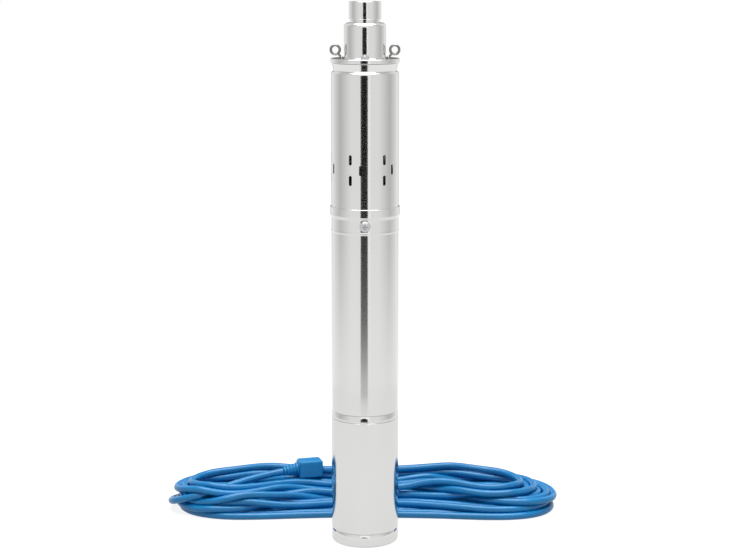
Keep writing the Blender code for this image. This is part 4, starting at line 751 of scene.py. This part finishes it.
def make_outlet_socket():
    """Collar with its undercut, its spigot and the threaded bore."""
    radius, low, top = span("outlet_socket")
    neck_top = span("outlet_head")[2]
    collar_low = top - COLLAR_HEIGHT
    floor = top - BORE_DEPTH
    thread = THREAD_MINOR + THREAD_DEPTH
    profile = [(thread, top - 1 * MM), (thread + 0.3 * MM, top)]
    profile += arc(radius - COLLAR_EDGE, top - COLLAR_EDGE, COLLAR_EDGE, 90, 0, 5)
    profile += arc(radius - TUBE_EDGE, collar_low + TUBE_EDGE, TUBE_EDGE, 0, -90, 4)
    profile += [(UNDERCUT_RADIUS, collar_low), (UNDERCUT_RADIUS, neck_top + 0.3 * MM)]
    profile += [(SPIGOT_RADIUS, neck_top + 0.3 * MM), (SPIGOT_RADIUS, low)]
    profile += [(SPIGOT_BORE, low), (SPIGOT_BORE, floor)]
    profile += [(THREAD_MINOR, floor + 1 * MM), (thread - 0.4 * MM, floor + 3 * MM)]
    return turned("collar", profile)


def make_outlet_thread():
    """Right-hand pipe thread on the collar's bore."""
    _, _, top = span("outlet_socket")
    start = top - BORE_DEPTH + 1 * MM
    crest = 0.2 * THREAD_PITCH
    minor, major = THREAD_MINOR, THREAD_MINOR + THREAD_DEPTH - 0.15 * MM
    heights = (0, crest, THREAD_PITCH / 2, THREAD_PITCH / 2 + crest, THREAD_PITCH)
    radii = (minor, minor, major, major, minor)
    shape = bmesh.new()
    corners = [shape.verts.new((r, 0, start + h)) for r, h in zip(radii, heights)]
    for first, second in zip(corners, corners[1:]):
        shape.edges.new((first, second))
    mesh = bpy.data.meshes.new("outlet_thread")
    shape.to_mesh(mesh)
    shape.free()
    item = add_object("outlet_thread", mesh)
    screw = item.modifiers.new("wind", "SCREW")
    screw.axis = "Z"
    screw.screw_offset = THREAD_PITCH
    screw.iterations = int((BORE_DEPTH - 2.5 * MM) / THREAD_PITCH) - 1
    screw.steps = 96
    screw.render_steps = 96
    baked(item)
    shape = bmesh.new()
    shape.from_mesh(item.data)
    bmesh.ops.remove_doubles(shape, verts=shape.verts, dist=0.00001)
    shape.to_mesh(item.data)
    shape.free()
    smooth(item.data)
    return item


def make_eye_bolt(name, side):
    """Rope eye that leans outwards from a round nut on the flange."""
    low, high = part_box(f"eye_bolt_{name}")
    ring = EYE_RING_RADIUS + EYE_WIRE
    outer = high.x - ring if side > 0 else low.x + ring
    centre = Vector((outer, (low.y + high.y) / 2, high.z - ring))
    flange_top = span("barrel")[2] + GAP + FLANGE_HEIGHT
    foot = Vector((side * (NECK_RADIUS + NECK_FILLET + EYE_NUT_ROOM), 0, flange_top + GAP))
    lean = centre - foot
    reach = lean.length
    turn = lean.to_track_quat("Z", "Y").to_matrix().to_4x4()
    bpy.ops.mesh.primitive_torus_add(
        major_segments=64, minor_segments=24, major_radius=EYE_RING_RADIUS, minor_radius=EYE_WIRE,
        location=centre, rotation=(math.pi / 2, 0, 0),
    )
    ring = bpy.context.object
    move(ring, ring.matrix_world.copy())
    ring.matrix_world = Matrix.Identity(4)
    stem = cylinder("stem", EYE_STEM, 0, reach - EYE_RING_RADIUS, 32, Matrix.Translation(foot) @ turn)
    profile = arc(0, 0, EYE_NUT_RADIUS, 90, 0, 12) + [(0, 0)]
    nut = move(turned("nut", profile, 32, closed=False), Matrix.Translation(foot))
    return join(f"rope_eye_{name}", [ring, stem, nut])


def hexagon(radius, low, high, chamfer, place):
    """Hexagon whose top corners are turned off, as on a bolt's head."""
    item = cylinder("hexagon", radius, low, high, 6, place)
    shape = bmesh.new()
    bmesh.ops.create_cone(
        shape, cap_ends=True, segments=64, radius1=radius * 1.02 + (high - low), radius2=radius - chamfer,
        depth=high - low + chamfer, matrix=place @ Matrix.Translation((0, 0, (low + high) / 2)),
    )
    mesh = bpy.data.meshes.new("turned_off")
    shape.to_mesh(mesh)
    shape.free()
    cut(item, add_object("turned_off", mesh), "INTERSECT")
    return rounded(item, 0.15 * MM, 2)


def make_flange_screw():
    """Hexagon-head screw with a flat washer at the front of the flange."""
    low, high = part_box("flange_screw")
    middle = (low + high) / 2
    place = Matrix.Translation((middle.x, middle.y, 0))
    radius = (high.x - low.x) / 2
    flange_top = span("barrel")[2] + GAP + FLANGE_HEIGHT
    washer_top = flange_top + 0.7 * MM
    washer = cylinder("washer", radius * 1.02, flange_top + 0.1 * MM, washer_top, 48, place)
    washer = rounded(washer, 0.15 * MM, 2)
    head = hexagon(radius, washer_top, high.z, 0.9 * MM, place)
    return join("hex_screw", [washer, head])


def make_head_screw(name, angle):
    """Domed cross-recess screw on the motor tube."""
    low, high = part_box("head_screw_front")
    height = (low.z + high.z) / 2
    under = span("motor_tube")[0] - LIP_STEP + 0.2 * MM
    top = -low.y
    radius = (high.x - low.x) / 2
    rim = under + 0.6 * MM
    profile = [(0, top)]
    for i in range(1, 13):
        turn = math.pi / 2 * i / 12
        profile.append((radius * math.sin(turn), rim + (top - rim) * math.cos(turn)))
    profile += [(radius, under), (0, under)]
    screw = turned(f"panhead_{name}", profile, SMALL_STEPS, closed=False)
    for size in ((RECESS_LENGTH, RECESS_WIDTH), (RECESS_WIDTH, RECESS_LENGTH)):
        place = Matrix.Translation((0, 0, top))
        cut(screw, block("recess", (*size, 2 * RECESS_DEPTH), place))
    smooth(screw.data)
    return move(screw, radial_place(height, angle))


def make_cable_gland():
    """Gland at the back of the flange: hexagon, domed nut and the seal's lip."""
    low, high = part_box("cable_gland")
    middle = (low + high) / 2
    place = Matrix.Translation((middle.x, middle.y, 0))
    base = span("barrel")[2] + GAP + FLANGE_HEIGHT + GAP
    hexagon_top = base + GLAND_HEXAGON_HEIGHT
    body = hexagon((high.x - low.x) / 2, base, hexagon_top, 0.8 * MM, place)
    profile = [(0, high.z), (CABLE_RADIUS + 0.1 * MM, high.z)]
    profile += arc(GLAND_NUT_RADIUS - GLAND_EDGE, high.z - GLAND_EDGE, GLAND_EDGE, 90, 0, 4)
    profile += [(GLAND_NUT_RADIUS, hexagon_top), (0, hexagon_top)]
    nut = move(turned("gland_nut", profile, SMALL_STEPS, closed=False), place)
    return join("gland", [body, nut])


def catmull(points, spacing):
    """Smooth path through points, with steps of about the spacing."""
    points = np.asarray(points, float)
    ends = np.array([2 * points[0] - points[1], *points, 2 * points[-1] - points[-2]])
    found = []
    for before, start, end, after in zip(ends, ends[1:], ends[2:], ends[3:]):
        steps = max(2, round(np.linalg.norm(end - start) / spacing))
        for share in np.arange(steps) / steps:
            found.append(
                0.5 * (2 * start + (end - before) * share
                       + (2 * before - 5 * start + 4 * end - after) * share ** 2
                       + (3 * start - before - 3 * end + after) * share ** 3)
            )
    found.append(points[-1])
    return np.array(found)


def even(points, spacing):
    """The same path with a point every spacing."""
    gaps = np.linalg.norm(np.diff(points, axis=0), axis=1)
    along = np.concatenate([[0], np.cumsum(gaps)])
    at = np.linspace(0, along[-1], int(round(along[-1] / spacing)) + 1)
    return np.stack([np.interp(at, along, points[:, axis]) for axis in range(3)], axis=1)


def wave(rng, angle, size):
    """Slow random sway round a turn."""
    sway = np.zeros_like(angle)
    for n in range(2, 6):
        sway += rng.uniform(-1, 1) * np.sin(n * angle + rng.uniform(0, math.tau)) / n
    return sway * size


def stadium(along, flat, radius):
    """Point on a long loop, from the middle of its front run to the right; along in metres."""
    quarter = math.pi * radius
    along %= 4 * flat + 2 * quarter
    if along < flat:
        return along, -1.0
    if along < flat + quarter:
        turn = (along - flat) / radius
        return flat + radius * math.sin(turn), -math.cos(turn)
    if along < 3 * flat + quarter:
        return 2 * flat + quarter - along, 1.0
    if along < 3 * flat + 2 * quarter:
        turn = (along - 3 * flat - quarter) / radius
        return -flat - radius * math.sin(turn), math.cos(turn)
    return along - 4 * flat - 2 * quarter, -1.0


def laid_turns():
    """Path of the hank's turns before they settle on each other."""
    rng = np.random.default_rng(7)
    share = np.linspace(0, 1, TURN_POINTS, endpoint=False)
    turns = []
    for front, front_z, back, back_z, radius, end_z, left, right in TURNS:
        radius *= MM
        pinch = (back - front) * MM / 2
        flat = (right - left) * MM / 2 - radius
        length = 4 * flat + math.tau * radius
        flat_points = np.array([stadium(s * length, flat, radius) for s in share])
        near_end = np.clip(np.abs(flat_points[:, 0]) / flat, 0, 1) ** 1.5
        near_end = near_end * near_end * (3 - 2 * near_end)
        half = pinch + (radius - pinch) * near_end
        middle = (front + back) * MM / 2 * (1 - near_end) + HANK_Y * near_end
        height = front_z + (back_z - front_z) * (flat_points[:, 1] + 1) / 2
        height = height * (1 - near_end) + end_z * near_end
        angle = share * math.tau
        x = (left + right) * MM / 2 + flat_points[:, 0] + wave(rng, angle, SWAY[0])
        y = middle + flat_points[:, 1] * half + wave(rng, angle, SWAY[1])
        z = height * MM + wave(rng, angle, SWAY[2])
        turns.append(np.stack([x, y, z], axis=1))
    blend = np.linspace(0, 1, BLEND_POINTS)
    blend = (blend * blend * (3 - 2 * blend))[:, None]
    for turn, following in zip(turns, turns[1:]):
        turn[-BLEND_POINTS:] += blend * (following[0] - (2 * turn[-1] - turn[-2]))
    return np.concatenate(turns)


def close_pairs(points, reach, skip):
    """Pairs of beads nearer than reach that aren't neighbours along the cable."""
    squares = (points * points).sum(axis=1)
    found = []
    for start in range(0, len(points), 500):
        part = points[start:start + 500]
        distance = squares[start:start + 500, None] + squares[None, :] - 2 * part @ points.T
        first, second = np.nonzero(distance < reach * reach)
        first += start
        keep = second - first > skip
        found.append(np.stack([first[keep], second[keep]], axis=1))
    return np.concatenate(found)


def settle(points, fixed, rounds):
    """Lets the beads fall, push each other apart and keep their spacing."""
    count = len(points)
    weight = np.where(fixed, 0.0, 1.0)
    free = ~fixed
    diameter = 2 * CABLE_RADIUS
    for step in range(rounds):
        if step % 10 == 0:
            pairs = close_pairs(points, diameter * 1.35, 4)
        points[free, 2] -= SETTLE_FALL if step < rounds * 0.8 else SETTLE_LAST_FALL
        for gap, stiff in SETTLE_STIFFNESS:
            middle = (points[:-2 * gap] + points[2 * gap:]) / 2
            pull = (middle - points[gap:-gap]) * stiff
            points[gap:-gap] += pull * weight[gap:-gap, None] * 0.5
            points[:-2 * gap] -= pull * weight[:-2 * gap, None] * 0.25
            points[2 * gap:] -= pull * weight[2 * gap:, None] * 0.25
        for _ in range(2):
            push_apart(points, pairs, weight, diameter, count)
            keep_spacing(points, weight)
            low = (points[:, 2] < CABLE_RADIUS) & free
            points[low, 2] = CABLE_RADIUS
            inside = free & (points[:, 2] < HANK_HIGH.z)
            np.clip(points[:, 0], HANK_LOW.x, HANK_HIGH.x, out=points[:, 0], where=free)
            np.clip(points[:, 1], HANK_LOW.y, HANK_HIGH.y, out=points[:, 1], where=inside)
        if step > rounds - SMOOTH_ROUNDS:
            pull = (points[:-2] + points[2:]) / 2 - points[1:-1]
            points[1:-1] += pull * weight[1:-1, None] * SMOOTH_SHARE
    return points


def push_apart(points, pairs, weight, diameter, count):
    """Moves beads that lie in each other to touching."""
    first, second = pairs[:, 0], pairs[:, 1]
    across = points[second] - points[first]
    distance = np.sqrt((across * across).sum(axis=1)) + 1e-12
    together = weight[first] + weight[second]
    hit = (distance < diameter) & (together > 0)
    first, second, across, distance, together = (v[hit] for v in (first, second, across, distance, together))
    push = across * ((diameter - distance) / together / distance)[:, None]
    contacts = np.bincount(first, minlength=count) + np.bincount(second, minlength=count)
    share = 1 / np.maximum(contacts, 1) ** 0.6
    for axis in range(3):
        moved = np.bincount(second, push[:, axis] * weight[second], minlength=count)
        moved -= np.bincount(first, push[:, axis] * weight[first], minlength=count)
        points[:, axis] += moved * share


def keep_spacing(points, weight):
    """Brings neighbouring beads back to their spacing, even and odd gaps in turn."""
    for start in (0, 1):
        first, second = points[start:-1:2], points[start + 1::2]
        count = min(len(first), len(second))
        first, second = first[:count], second[:count]
        held_first, held_second = weight[start:-1:2][:count], weight[start + 1::2][:count]
        across = second - first
        length = np.sqrt((across * across).sum(axis=1)) + 1e-12
        share = (length - BEAD_SPACING) / length / np.maximum(held_first + held_second, 1e-9)
        moved = across * share[:, None]
        first += moved * held_first[:, None]
        second -= moved * held_second[:, None]


def cable_path():
    """Centre line of the cable: down behind the pump, round the hank's turns and up to the plug."""
    drop = catmull(np.array(DROP_ROUTE) * MM, 0.012)
    tail = catmull(np.array(TAIL_ROUTE) * MM, 0.006)
    turns = laid_turns()
    start = int(np.argmax(turns[:60, 0] > 0.115))
    turns = turns[start:-60]
    landing = catmull(np.vstack([drop[-1], np.array(LANDING) * MM, turns[0]]), 0.006)[1:-1]
    rise = catmull(np.vstack([turns[-1], np.array(RISE) * MM, tail[0]]), 0.006)[1:-1]
    points = even(np.concatenate([drop, landing, turns, rise, tail]), BEAD_SPACING)
    fixed = np.zeros(len(points), bool)
    fixed[:int(path_length(drop) / BEAD_SPACING) + 1] = True
    fixed[-int(path_length(tail) / BEAD_SPACING) - 1:] = True
    settle(points, fixed, SETTLE_ROUNDS)
    return points


def path_length(points):
    return float(np.linalg.norm(np.diff(points, axis=0), axis=1).sum())


def make_cable():
    """The whole cable as one round curve from the gland to the plug's relief."""
    points = cable_path()
    curve = bpy.data.curves.new("supply_cable", "CURVE")
    curve.dimensions = "3D"
    curve.bevel_depth = CABLE_RADIUS
    curve.bevel_resolution = 4
    curve.use_fill_caps = True
    spline = curve.splines.new("POLY")
    spline.points.add(len(points) - 1)
    spline.points.foreach_set("co", np.column_stack([points, np.ones(len(points))]).ravel())
    spline.use_smooth = True
    return add_object("supply_cable", curve), path_length(points)


def make_plug():
    """Moulded plug body, its ribbed relief and two plated pins."""
    length, depth, height = PLUG_BODY
    before, start = (Vector(point) * MM for point in TAIL_ROUTE[-2:])
    run = start - before
    rest = PLUG_REST + height / 2 - start.z
    place = Matrix.Translation(start) @ about_z(math.atan2(run.y, run.x))
    body_x = RELIEF_LENGTH + length / 2
    body = rounded(block("plug_body", PLUG_BODY, Matrix.Translation((body_x, 0, rest))), PLUG_EDGE, 5)
    profile = [(0, RELIEF_GAP)]
    pitch = RELIEF_LENGTH / RELIEF_RIBS
    for i in range(RELIEF_RIBS):
        low = RELIEF_GAP + i * pitch
        radius = RELIEF_START_RADIUS + (RELIEF_END_RADIUS - RELIEF_START_RADIUS) * i / (RELIEF_RIBS - 1)
        profile += [(radius - 1.1 * MM, low), (radius - 0.3 * MM, low + 0.15 * MM), (radius, low + 0.5 * MM)]
        profile += [(radius, low + pitch - 1.5 * MM), (radius - 0.3 * MM, low + pitch - 1.15 * MM)]
        profile += [(radius - 1.1 * MM, low + pitch - 1 * MM)]
    buried = RELIEF_LENGTH + 1.5 * MM
    profile += [(RELIEF_END_RADIUS, RELIEF_LENGTH), (RELIEF_END_RADIUS, buried), (0, buried)]
    relief = turned("relief", profile, 40, closed=False)
    tilt = math.atan2(run.z, math.hypot(run.x, run.y))
    move(relief, Matrix.Rotation(math.pi / 2 - tilt, 4, "Y"))
    plug = move(join("moulded_plug", [body, relief]), place)
    pins = []
    for side in (-1, 1):
        centre = place @ Matrix.Translation((body_x + side * PIN_SPACING / 2, 0, rest))
        centre = centre @ Matrix.Rotation(-math.pi / 2, 4, "X")
        profile = [(0, depth / 2 - 1 * MM), (PIN_RADIUS, depth / 2 - 1 * MM)]
        profile += arc(0, depth / 2 + PIN_LENGTH - PIN_RADIUS, PIN_RADIUS, 0, 90, 8)
        pins.append(move(turned("pin", profile, 32, closed=False), centre))
    return plug, join("plug_pins", pins)


class PumpCableSettings(PropertyGroup):
    """Look of the supply cable"""

    colour: FloatVectorProperty(
        name="Cable colour", description="Colour of the cable's jacket", subtype="COLOR", size=4,
        default=linear("0084C6"), min=0, max=1,
    )
    plug_colour: FloatVectorProperty(
        name="Plug colour", description="Colour of the moulded plug", subtype="COLOR", size=4,
        default=linear("048FD2"), min=0, max=1,
    )
    roughness: FloatProperty(
        name="Cable roughness", description="Roughness of the jacket", default=0.24, min=0, max=1,
    )


class PumpStageSettings(PropertyGroup):
    """Floor and light"""

    floor_colour: FloatVectorProperty(
        name="Floor", description="Colour of the studio floor", subtype="COLOR", size=4,
        default=linear("8A8A8A"), min=0, max=1,
    )
    floor_glow: FloatProperty(
        name="Floor glow", description="Light that the floor adds itself", default=0.86, min=0,
    )
    light_power: FloatProperty(
        name="Overhead light", description="Power of the soft light above", default=85, min=0, unit="POWER",
    )
    light_size: FloatProperty(
        name="Light size", description="Side of the soft light", default=2.2, min=0.1, unit="LENGTH",
    )


class OBJECT_OT_pump_tubes(Operator):
    """Builds the polished tubes, the bands and the cap"""

    bl_idname = "object.pump_tubes"
    bl_label = "Build pump tubes"

    def execute(self, context):
        steel = material("polished_steel")
        place_piece(make_bottom_cap(), "pump", "polished_steel", steel, "bottom_cap")
        radius, low, high = span("lower_housing")
        housing = turned("housing_tube", tube_profile(radius, low, high))
        place_piece(housing, "pump", "polished_steel", steel, "lower_housing")
        place_piece(make_band(), "pump", "cast_metal", steel)
        place_piece(make_motor_tube(), "pump", "polished_steel", steel, "motor_tube")
        place_piece(make_barrel(), "pump", "polished_steel", steel, "barrel")
        return {"FINISHED"}


class OBJECT_OT_pump_outlet(Operator):
    """Builds the flange, the neck and the threaded collar"""

    bl_idname = "object.pump_outlet"
    bl_label = "Build pump outlet"

    def execute(self, context):
        steel = material("polished_steel")
        place_piece(make_outlet_head(), "pump", "polished_steel", steel, "outlet_head")
        place_piece(make_outlet_socket(), "pump", "polished_steel", steel, "outlet_socket")
        place_piece(make_outlet_thread(), "pump", "polished_steel", material("turned_steel"))
        return {"FINISHED"}


class OBJECT_OT_pump_fasteners(Operator):
    """Builds the rope eyes, the screws and the cable gland"""

    bl_idname = "object.pump_fasteners"
    bl_label = "Build fasteners"

    def execute(self, context):
        forged_finish, turned_finish = material("forged_steel"), material("turned_steel")
        for name, side in (("left", -1), ("right", 1)):
            eye = make_eye_bolt(name, side)
            place_piece(eye, "pump", "polished_steel", forged_finish, f"eye_bolt_{name}")
        place_piece(make_flange_screw(), "pump", "turned_steel", turned_finish, "flange_screw")
        for name, angle in (("front", 0), ("rear", math.pi)):
            screw = make_head_screw(name, angle)
            place_piece(screw, "pump", "turned_steel", turned_finish, f"head_screw_{name}")
        place_piece(make_cable_gland(), "pump", "turned_steel", turned_finish, "cable_gland")
        return {"FINISHED"}


class OBJECT_OT_pump_cable(Operator):
    """Lays the supply cable and its plug"""

    bl_idname = "object.pump_cable"
    bl_label = "Lay cable and plug"

    def execute(self, context):
        settings = context.scene.pump_cable
        plug, pins = make_plug()
        place_piece(plug, "pump", "plug_plastic", plug_plastic(list(settings.plug_colour)), "cable_plug")
        place_piece(pins, "pump", "turned_steel", material("plated_pins"))
        cable, length = make_cable()
        jacket = cable_jacket(list(settings.colour), settings.roughness)
        place_piece(cable, "pump", "cable_jacket", jacket, "cable_drop", "cable_hank", "cable_tail")
        return {"FINISHED"}


class OBJECT_OT_pump_inner(Operator):
    """Gives the inner parts their finishes"""

    bl_idname = "object.pump_inner"
    bl_label = "Finish inner parts"

    def execute(self, context):
        for part in frame["record"]["subparts"]:
            item = frame["nodes"][part["node"]]
            if item.hide_render:
                continue
            item.data.materials.clear()
            item.data.materials.append(material(part["material_slot"]))
        return {"FINISHED"}


class SCENE_OT_pump_stage(Operator):
    """Sets up the floor, the backdrop, the light and the camera"""

    bl_idname = "scene.pump_stage"
    bl_label = "Set up studio"

    def execute(self, context):
        settings = context.scene.pump_stage
        make_floor(floor_paint(list(settings.floor_colour), settings.floor_glow))
        make_world()
        light = bpy.data.lights.new("overhead", "AREA")
        light.size = settings.light_size
        light.energy = settings.light_power
        lamp = bpy.data.objects.new("overhead", light)
        lamp.location = LAMP_PLACE
        context.scene.collection.objects.link(lamp)
        make_camera(context.scene)
        context.scene.view_settings.view_transform = "Standard"
        return {"FINISHED"}


def make_floor(finish):
    """Round board that the pump stands on."""
    shape = bmesh.new()
    place = Matrix.Translation((0, 0, -FLOOR_BELOW))
    bmesh.ops.create_circle(shape, cap_ends=True, segments=256, radius=FLOOR_RADIUS, matrix=place)
    mesh = bpy.data.meshes.new("studio_floor")
    shape.to_mesh(mesh)
    shape.free()
    board = add_object("studio_floor", mesh)
    mesh.materials.append(finish)


# Light round the pump, the same to the left and the right: degrees from the front and sRGB levels as the steel
# mirrors them, for a bright board in front, a soft board and a dip at each side, then a board and a dark wall
# behind
LIGHT_ROUND = ((0, 240), (12, 240), (20, 215), (48, 215), (93, 175), (145, 225), (163, 195), (180, 95))
# Level of the dark gap at the front, by the sine of the angle above the horizon
GAP_LEVELS = ((-0.346, 10), (-0.316, 240), (-0.239, 240), (-0.226, 110), (-0.2, 60), (-0.14, 5))
# Sines of the angles where the low light ends, at the floor's edge, and where the light round the pump starts
LOW_END, ROUND_START = -0.239, -0.137
GAP_EDGE = 0.006
GAP_MIDDLE = math.radians(-2.6)
GAP_HALF = math.radians(12.4)
GAP_FALL = 0.16
LOW_LEVEL = 226
STEEL_MIRRORS = 0.745
DIFFUSE_SHARE = 0.34


def levels_ramp(tree, value, low, high, levels):
    """A ramp of grey levels over a value."""
    ramp = add_node(tree, "ShaderNodeValToRGB", {"Fac": spread(tree, value, 0, 1, low, high)})
    stops = ramp.color_ramp.elements
    while len(stops) > 1:
        stops.remove(stops[-1])
    stops[0].position = 0
    stops[0].color = grey(levels[0][1])
    for at, level in levels[1:]:
        stops.new((at - low) / (high - low)).color = grey(level)
    return ramp.outputs["Color"]


def make_world():
    """Soft studio light that varies round the pump, with a dark gap at the front; the camera sees it plain."""
    world = bpy.data.worlds.new("studio")
    bpy.context.scene.world = world
    world.use_nodes = True
    tree = world.node_tree
    background = tree.nodes["Background"]
    direction = add_node(tree, "ShaderNodeTexCoord").outputs["Generated"]
    parts = add_node(tree, "ShaderNodeSeparateXYZ", {"Vector": direction})
    height = parts.outputs["Z"]
    angle = sums(tree, "ARCTAN2", parts.outputs["X"], sums(tree, "MULTIPLY", parts.outputs["Y"], -1.0))
    degrees = sums(tree, "DEGREES", sums(tree, "ABSOLUTE", angle, 0.0), 0.0)
    around = levels_ramp(tree, degrees, 0, 180, LIGHT_ROUND)
    lit = mix_colours(tree, spread(tree, height, 1.0, 0.0, LOW_END, ROUND_START), around, grey(LOW_LEVEL))
    off_middle = sums(tree, "ABSOLUTE", sums(tree, "SUBTRACT", angle, GAP_MIDDLE), 0.0)
    width = spread(tree, height, GAP_HALF, -0.01, 0.0, GAP_FALL)
    share = spread(tree, sums(tree, "SUBTRACT", width, off_middle), 0, 1, -GAP_EDGE, GAP_EDGE)
    gap = levels_ramp(tree, height, -0.4, 0.0, GAP_LEVELS)
    seen = add_node(tree, "ShaderNodeLightPath")
    round_light = mix_colours(tree, share, lit, gap)
    plain = mix_colours(tree, seen.outputs["Is Camera Ray"], round_light, [STEEL_MIRRORS] * 3 + [1])
    tree.links.new(plain, background.inputs["Color"])
    strength = spread(tree, seen.outputs["Is Diffuse Ray"], 1 / STEEL_MIRRORS, DIFFUSE_SHARE)
    tree.links.new(strength, background.inputs["Strength"])


def make_camera(scene):
    """Long lens from the front and a little above."""
    data = bpy.data.cameras.new("camera")
    data.lens = CAMERA_LENS
    data.sensor_width = 36
    data.shift_y = CAMERA_SHIFT
    data.dof.use_dof = False
    camera = bpy.data.objects.new("camera", data)
    camera.location = (0, -CAMERA_DISTANCE, CAMERA_HEIGHT)
    camera.rotation_euler = (math.pi / 2 - CAMERA_TILT, 0, 0)
    scene.collection.objects.link(camera)
    scene.camera = camera


class VIEW3D_PT_pump(Panel):
    """Buttons and settings of the pump"""

    bl_idname = "VIEW3D_PT_pump"
    bl_label = "Borehole pump"
    bl_space_type = "VIEW_3D"
    bl_region_type = "UI"
    bl_category = "Pump"

    def draw(self, context):
        layout = self.layout
        for operator in OPERATORS:
            layout.operator(operator.bl_idname)
        for name in ("colour", "plug_colour", "roughness"):
            layout.prop(context.scene.pump_cable, name)
        for name in ("floor_colour", "floor_glow", "light_power", "light_size"):
            layout.prop(context.scene.pump_stage, name)


SETTINGS = (PumpCableSettings, PumpStageSettings)
OPERATORS = (
    OBJECT_OT_pump_tubes, OBJECT_OT_pump_outlet, OBJECT_OT_pump_fasteners, OBJECT_OT_pump_cable,
    OBJECT_OT_pump_inner, SCENE_OT_pump_stage,
)


def register():
    for item in (*SETTINGS, *OPERATORS, VIEW3D_PT_pump):
        bpy.utils.register_class(item)
    bpy.types.Scene.pump_cable = PointerProperty(type=PumpCableSettings)
    bpy.types.Scene.pump_stage = PointerProperty(type=PumpStageSettings)


def unregister():
    for name in ("pump_cable", "pump_stage"):
        delattr(bpy.types.Scene, name)
    for item in reversed((*SETTINGS, *OPERATORS, VIEW3D_PT_pump)):
        bpy.utils.unregister_class(item)


def main():
    register()
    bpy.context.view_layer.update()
    bpy.ops.object.pump_tubes()
    bpy.ops.object.pump_outlet()
    bpy.ops.object.pump_fasteners()
    bpy.ops.object.pump_cable()
    bpy.ops.object.pump_inner()
    bpy.ops.scene.pump_stage()


if __name__ == "__main__":
    main()
